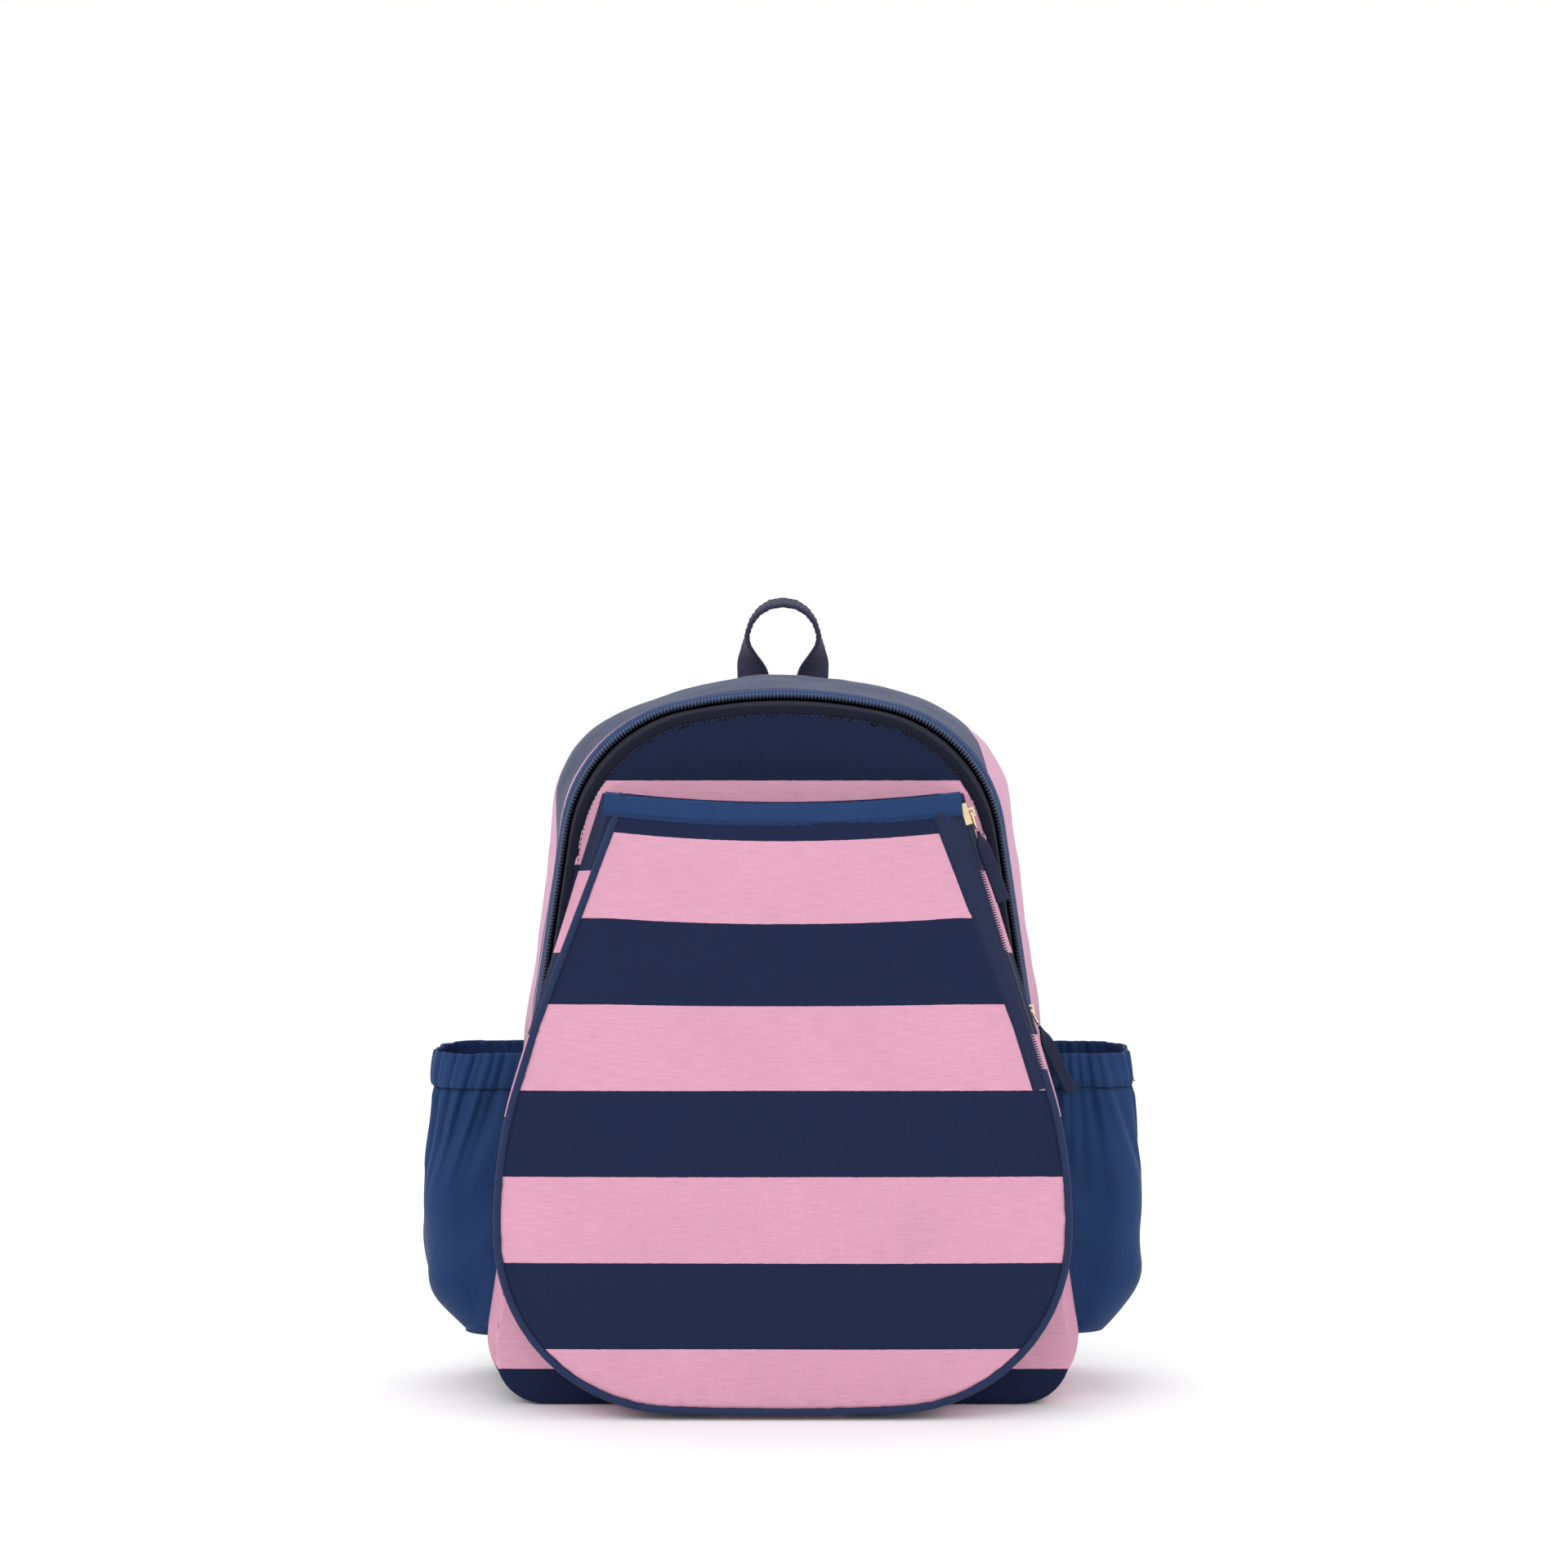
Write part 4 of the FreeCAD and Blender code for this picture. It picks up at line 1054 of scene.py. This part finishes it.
def carry_handle():
    half = [(0.0176, 0.4320), (0.0182, 0.4420), (0.0200, 0.4520), (0.0224, 0.4600), (0.0238, 0.4680),
            (0.0232, 0.4760), (0.0205, 0.4840), (0.0155, 0.4905), (0.0085, 0.4948), (0.0, 0.4962)]
    corners = [Vector((x, 0, z)) for x, z in half]
    corners += [Vector((-x, 0, z)) for x, z in reversed(half[:-1])]
    line = SeamLine(corners)
    count = 90
    points, acrosses = [], []
    for index in range(count + 1):
        share = index / count
        spot = line.at(share)
        turn = radians(90) * smooth((share - 0.05) / 0.24) + radians(90) * smooth((share - 0.71) / 0.24)
        points.append(Vector((spot.x, BACK + 0.004, spot.z)))
        tilt = radians(15) * bump(share, 0.5, 0.42)
        acrosses.append(Vector((cos(turn), sin(turn) * cos(tilt), sin(turn) * sin(tilt))))
    band("carry_handle_webbing", points, acrosses, 0.0215, 0.0028, handle_webbing, "carry_loop",
         ("carry_handle",), columns=8)
    for edge in (-1, 1):
        row = [point + across * edge * 0.0078 for point, across in zip(points, acrosses)]
        outs = []
        for index, across in enumerate(acrosses):
            ahead = points[min(index + 1, count)] - points[max(index - 1, 0)]
            outs.append(across.cross(ahead).normalized())
        lifted = [point + out * 0.0013 for point, out in zip(row, outs)]
        under = [point - out * 0.0013 for point, out in zip(row, outs)]
        name = "handle_stitches_" + ("left" if edge < 0 else "right")
        stitch_row(name, lifted, outs, "carry_loop", navy_thread, 0.0036)
        stitch_row(name + "_under", under, [-out for out in outs], "carry_loop", navy_thread, 0.0036)


STRAP_LENGTH = 0.385
STRAP_TOP_HALF = 0.052
STRAP_TOP_HEIGHT = 0.412
BOW_RADIUS = 0.4832
BOW = 0.040
PIVOT_Y = 0.080
LEAN = radians(13.7)


def bow_spot(mirror, angle, out=0.0, across=0.0):
    """A point on a shoulder strap: an angle along its bow, a height off it, a place across it."""
    radius = BOW_RADIUS + out
    down = STRAP_LENGTH / 2 - radius * sin(angle)
    y = PIVOT_Y + BOW - BOW_RADIUS + radius * cos(angle)
    x = STRAP_TOP_HALF + down * sin(LEAN) + across * cos(LEAN)
    z = STRAP_TOP_HEIGHT - down * cos(LEAN) + across * sin(LEAN)
    return Vector((mirror * x, y, z))


def bow_across(mirror):
    return Vector((mirror * cos(LEAN), 0, sin(LEAN)))


def bow_line(mirror, start, end, out, count):
    angles = [radians(mix(start, end, i / count)) for i in range(count + 1)]
    return [bow_spot(mirror, angle, out) for angle in angles]


def inflate(piece, voxel, cap, pinned):
    """Swell a padded piece with a cloth simulation, and keep what comes of it up to a cap.

    What is pinned stays where it is sewn down.
    """
    even = piece.modifiers.new("even", "REMESH")
    even.mode = "VOXEL"
    even.voxel_size = voxel
    settle(piece)
    start = [vert.co.copy() for vert in piece.data.vertices]
    group = piece.vertex_groups.new(name="sewn")
    group.add([i for i, point in enumerate(start) if pinned(point)], 1.0, "ADD")
    cloth = piece.modifiers.new("cloth", "CLOTH")
    cloth.settings.quality = 4
    cloth.settings.use_pressure = True
    cloth.settings.uniform_pressure_force = 4
    cloth.settings.vertex_group_mass = "sewn"
    cloth.settings.effector_weights.gravity = 0
    for frame_number in range(1, 21):
        bpy.context.scene.frame_set(frame_number)
    settle(piece)
    piece.vertex_groups.clear()
    bpy.context.scene.frame_set(1)
    for vert, before in zip(piece.data.vertices, start):
        move = vert.co - before
        if move.length > cap:
            vert.co = before + move.normalized() * cap
    for polygon in piece.data.polygons:
        polygon.use_smooth = True


def settle(piece):
    """Turn a piece's modifiers into its own mesh."""
    seen = piece.evaluated_get(bpy.context.evaluated_depsgraph_get())
    mesh = bpy.data.meshes.new_from_object(seen)
    piece.modifiers.clear()
    old = piece.data
    piece.data = mesh
    bpy.data.meshes.remove(old)


def strap_pad(mirror, side):
    """The padded part of a shoulder strap, with its mesh underside and bound edge."""
    body = side + "_shoulder_strap"
    start, end = 19.3, -9.0
    length = BOW_RADIUS * radians(start - end)
    rows = 60

    def half_width(share):
        reach = min(share, 1 - share) * length
        return 0.0265 * sqrt(max(1 - (1 - min(reach / 0.014, 1)) ** 2, 0.03))

    def place(turn, along):
        angle = radians(mix(start, end, along))
        a = turn * 2 * pi
        wide = abs(cos(a)) ** 0.55 * (1 if cos(a) >= 0 else -1)
        thick = abs(sin(a)) ** 0.75 * (1 if sin(a) >= 0 else -1)
        point = bow_spot(mirror, angle, -0.0078 + thick * 0.0046, wide * half_width(along))
        return point, (turn, along)

    shape = grid_shape(40, rows, place, wrap=True)
    ends = [edge for edge in shape.edges if edge.is_boundary]
    bmesh.ops.holes_fill(shape, edges=ends, sides=0)
    bmesh.ops.recalc_face_normals(shape, faces=shape.faces)
    pad = finish_piece(shape, side + "_strap_cushion", strap_canvas, body,
                       (side + "_strap_pad",))
    axis = bow_across(mirror)

    def near_edge(point):
        across = point.dot(axis) - bow_spot(mirror, 0).dot(axis)
        drop = (point - bow_spot(mirror, 0)).dot(Vector((mirror * sin(LEAN), 0, -cos(LEAN))))
        return abs(across) > 0.0245 or not -0.155 < drop < 0.07

    inflate(pad, 0.004, 0.0025, near_edge)
    soften(pad, 1)

    def lining_point(u, v):
        angle = radians(mix(start - 0.5, end + 0.5, v))
        crown = 0.0018 * sin(pi * u)
        return (bow_spot(mirror, angle, -0.0128 - crown, (u - 0.5) * 0.046),
                ((u - 0.5) * 0.046, v * length))

    lining = finish_piece(grid_shape(12, rows, lining_point), side + "_strap_mesh", back_mesh, body,
                          (side + "_strap_lining",))
    thicken(lining, 0.0012, rounds=0, offset=0.0)

    corners = [(0.0272, 0.0, 0.013), (0.0272, length, 0.013), (-0.0272, length, 0.013),
               (-0.0272, 0.0, 0.013)]
    loop = SeamLine(rounded(corners, steps=8))
    rim = []
    for index in range(241):
        spot = loop.at(index / 240)
        rim.append(bow_spot(mirror, radians(start) - spot.y / BOW_RADIUS, -0.0080, spot.x))
    shape = tube_shape(rim, 0.0024, 8, across=Vector((0, 1, 0)))
    finish_piece(shape, side + "_strap_edging", trim_twill, body, (side + "_strap_binding",))


def shoulder_strap(mirror):
    side = "left" if mirror < 0 else "right"
    body = side + "_shoulder_strap"
    across = bow_across(mirror)
    strap_pad(mirror, side)

    top = bow_line(mirror, 23.4, -9.4, -0.0009, 90)
    band(side + "_strap_ribbon", top, [across] * len(top), 0.0250, 0.0017, strap_webbing, body,
         (side + "_strap_webbing",))
    outs = [Vector((0, 1, 0))] * 2
    for edge in (-1, 1):
        row = [point + across * edge * 0.0105 + Vector((0, 0.0011, 0)) for point in top[12:]]
        stitch_row(side + "_strap_stitches_" + ("in" if edge < 0 else "out"), row, outs, body,
                   navy_thread, 0.0036)

    low = bow_line(mirror, -12.3, -23.5, -0.0009, 50)
    band(side + "_lower_ribbon", low, [across] * len(low), 0.0240, 0.0017, strap_webbing, body,
         (side + "_lower_webbing",))

    down = Vector((mirror * sin(LEAN), 0, -cos(LEAN)))
    first = bow_spot(mirror, radians(-12.4), -0.0003)
    tail = []
    for index in range(41):
        share = index / 40
        sway = Vector((0, 0.0022 * sin(share * 5.5) * share, 0))
        tail.append(first + down * (0.003 + 0.0985 * share) + sway)
    band(side + "_tail_ribbon", tail, [across] * len(tail), 0.0240, 0.0017, strap_webbing,
         side + "_tail", (side + "_strap_tail",))


def anchor(mirror, level):
    """A folded tab of webbing, sewn to the back, that holds one end of a strap."""
    side = "left" if mirror < 0 else "right"
    node = side + "_" + level + "_anchor"
    low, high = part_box(node)
    centre = (low + high) / 2
    shape = bmesh.new()
    bmesh.ops.create_cube(shape, size=1)
    bmesh.ops.scale(shape, vec=(high.x - low.x, high.y - low.y, high.z - low.z), verts=shape.verts)
    bmesh.ops.bevel(shape, geom=shape.edges[:], offset=0.0016, segments=3, profile=0.5,
                    affect="EDGES", material=-1)
    bmesh.ops.translate(shape, vec=centre, verts=shape.verts)
    layer = shape.loops.layers.uv.new("weave")
    for face in shape.faces:
        for loop in face.loops:
            loop[layer].uv = (loop.vert.co.x, loop.vert.co.z)
    finish_piece(shape, node + "_tab", strap_webbing, "pack", (node,))
    corners = [Vector((low.x + 0.002, high.y, low.z + 0.002)),
               Vector((high.x - 0.002, high.y, low.z + 0.002)),
               Vector((low.x + 0.002, high.y, high.z - 0.002)),
               Vector((high.x - 0.002, high.y, high.z - 0.002))]
    for order, (first, second) in enumerate(((0, 1), (1, 2), (2, 3), (3, 0))):
        stitch_row(node + "_stitches_" + str(order), [corners[first], corners[second]],
                   [Vector((0, 1, 0))], "pack", navy_thread, 0.0026, 0.0001)


def strap_patch():
    low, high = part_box("strap_patch")
    half = (high.x - low.x) / 2
    corners = [(half, low.z, 0.008), (half, high.z, 0.008), (-half, high.z, 0.008),
               (-half, low.z, 0.008)]
    outline = SeamLine([Vector((0, low.z))] + rounded(corners, closed=False) + [Vector((0, low.z))])
    sides = pack_sides(outline, low=0.215, high=0.30)

    def depth(spot, u, v):
        return high.y - 0.0016 + 0.0014 * min(pillow(u, v) * 2.5, 1)

    panel("strap_patch_cloth", sides, depth, 60, 16, navy_canvas, "pack", ("strap_patch",),
          0.0020)
    rim = [Vector((outline.at(i / 120).x * 0.965, high.y - 0.0004,
                   mix(mix(low.z, high.z, 0.5), outline.at(i / 120).y, 0.84))) for i in range(121)]
    stitch_row("patch_stitches", rim, [Vector((0, 1, 0))], "pack", navy_thread, 0.0034, 0.0006)


CHANNEL_PITCH = 0.056
CHANNEL_HALF = 0.008
CHANNEL_DEPTH = 0.0036


def back_cushion():
    """The padded back, blown up a little and then sewn down in level channels."""
    low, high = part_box("back_padding")
    half = (high.x - low.x) / 2 - 0.003
    corners = [(half, low.z + 0.003, 0.03), (half * 0.84, high.z - 0.003, 0.03),
               (-half * 0.84, high.z - 0.003, 0.03), (-half, low.z + 0.003, 0.03)]
    outline = SeamLine([Vector((0, low.z + 0.003))] + rounded(corners, closed=False)
                       + [Vector((0, low.z + 0.003))])
    sides = pack_sides(outline, low=0.15, high=0.42)

    def place(u, v):
        spot = patch(sides, u, v)
        return Vector((spot.x, low.y + 0.0042, spot.y)), spot

    shape = grid_shape(40, 48, place)
    pad = finish_piece(shape, "back_cushion", back_mesh, "pack", ("back_padding",))
    thicken(pad, 0.0068, rounds=0, offset=0.0)

    def near_edge(point):
        return point.y < low.y + 0.002

    inflate(pad, 0.003, 0.005, near_edge)
    for vert in pad.data.vertices:
        channel = abs(((vert.co.z - low.z) / CHANNEL_PITCH) % 1.0 - 0.5) * CHANNEL_PITCH
        if vert.co.y > low.y + 0.003:
            vert.co.y -= CHANNEL_DEPTH * (1 - smooth(channel / CHANNEL_HALF))
            vert.co.y = min(vert.co.y, BACK + 0.0110)
    soften(pad, 1)
    for row in range(5):
        z = low.z + CHANNEL_PITCH * (row + 0.5)
        if low.z + 0.02 < z < high.z - 0.02:
            points = [Vector((mix(-half * 0.86, half * 0.86, i / 40), low.y + 0.0049, z))
                      for i in range(41)]
            stitch_row("back_stitches_" + str(row), points, [Vector((0, 1, 0))], "pack",
                       navy_thread, 0.004, 0.0004)


# --- pullers -----------------------------------------------------------------------------

def pull_tab(name, node, body, slant, top, twist, lean=0.0):
    """A folded fabric tab that hangs from a slider's ring, and turns towards the front."""
    down = Vector((sin(slant), 0, -cos(slant)))
    out = Vector((cos(slant), 0, sin(slant)))
    points, acrosses = [], []
    length = 0.045
    for index in range(31):
        share = index / 30
        turn = radians(twist) * smooth(share / 0.3)
        points.append(top + down * length * share + out * lean * smooth(share))
        acrosses.append(Vector((0, 1, 0)) * cos(turn) + out * sin(turn))
    band(name, points, acrosses, 0.0086, 0.0020, tab_canvas, body, (node,), columns=4)
    face = acrosses[-1].cross(down).normalized()
    for flip, label in ((1, "front"), (-1, "back")):
        for edge in (-1, 1):
            row = [p + a * edge * 0.0030 + face * flip * 0.0011
                   for p, a in zip(points[12:], acrosses[12:])]
            side = "near" if edge < 0 else "far"
            stitch_row(name + "_stitches_" + label + "_" + side, row, [face * flip], body,
                       navy_thread, 0.0030, 0.0)


def pullers():
    low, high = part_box("pocket_pull_tab")
    slant = atan((POCKET_WIDTH - MOUTH_WIDTH) / 2 / (0.574 * POCKET_HEIGHT))
    pull_tab("pocket_tab_cloth", "pocket_pull_tab", "pocket_zip_puller", slant,
             Vector((low.x + 0.0022, (low.y + high.y) / 2, high.z - 0.001)), 84, 0.002)
    low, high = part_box("main_pull_tab")
    slant = atan((high.x - low.x - 0.0024) / (high.z - low.z))
    pull_tab("main_tab_cloth", "main_pull_tab", "main_zip_puller", slant,
             Vector((low.x + 0.0016, (low.y + high.y) / 2, high.z - 0.001)), 70, 0.0)
    for node in ("pocket_slider", "pocket_pull_ring", "main_slider", "main_pull_ring"):
        dress(node, gold)


def dress(node, material):
    """Give a frame node its finish, and leave its shape alone."""
    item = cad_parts[node]
    item.data.materials.clear()
    item.data.materials.append(material)


front_panel()
back_panel()
body_gusset()
base_sill()
main_zip()
pocket_front()
pocket_gusset()
mouth_binding()
pocket_piping()
pocket_zip()
for mirror in (-1, 1):
    side_cup(mirror)
    shoulder_strap(mirror)
    for level in ("top", "lower"):
        anchor(mirror, level)
carry_handle()
strap_patch()
back_cushion()
pullers()
dress("base_board", board_plastic)
dress("left_buckle", buckle_plastic)
dress("right_buckle", buckle_plastic)


# --- floor, light and camera -----------------------------------------------------------

def plain_stage():
    shape = bmesh.new()
    bmesh.ops.create_grid(shape, x_segments=2, y_segments=2, size=6)
    mesh = bpy.data.meshes.new("floor")
    shape.to_mesh(mesh)
    shape.free()
    floor = bpy.data.objects.new("floor", mesh)
    floor.location = (0, 0, -0.0006)
    bpy.context.collection.objects.link(floor)
    pale = bpy.data.materials.new("pale_floor")
    pale.use_nodes = True
    shader = pale.node_tree.nodes["Principled BSDF"]
    shader.inputs["Base Color"].default_value = (0.995, 0.995, 0.995, 1)
    shader.inputs["Roughness"].default_value = 0.9
    mesh.materials.append(pale)

    world = bpy.data.worlds.new("studio")
    bpy.context.scene.world = world
    world.use_nodes = True
    world.node_tree.nodes["Background"].inputs["Color"].default_value = (1, 1, 1, 1)
    world.node_tree.nodes["Background"].inputs["Strength"].default_value = 1.0


def soft_light(name, place, target, size, power):
    data = bpy.data.lights.new(name, "AREA")
    data.shape = "RECTANGLE"
    data.size, data.size_y = size
    data.energy = power
    lamp = bpy.data.objects.new(name, data)
    lamp.location = place
    facing = Vector(target) - Vector(place)
    lamp.rotation_euler = facing.to_track_quat("-Z", "Y").to_euler()
    bpy.context.collection.objects.link(lamp)


def camera():
    data = bpy.data.cameras.new("front_view")
    data.lens = 73.5
    data.sensor_width = 36
    item = bpy.data.objects.new("front_view", data)
    item.location = (0.0007, -2.02, 0.3776)
    item.rotation_euler = (pi / 2, 0, 0)
    bpy.context.collection.objects.link(item)
    bpy.context.scene.camera = item


plain_stage()
soft_light("key", (-1.1, -1.9, 1.7), (0, 0, 0.25), (1.4, 1.4), 15)
soft_light("fill", (1.5, -1.7, 1.0), (0, 0, 0.25), (1.4, 1.4), 5)
soft_light("top", (0, 0.3, 2.0), (0, 0, 0.3), (1.6, 1.6), 8)
camera()
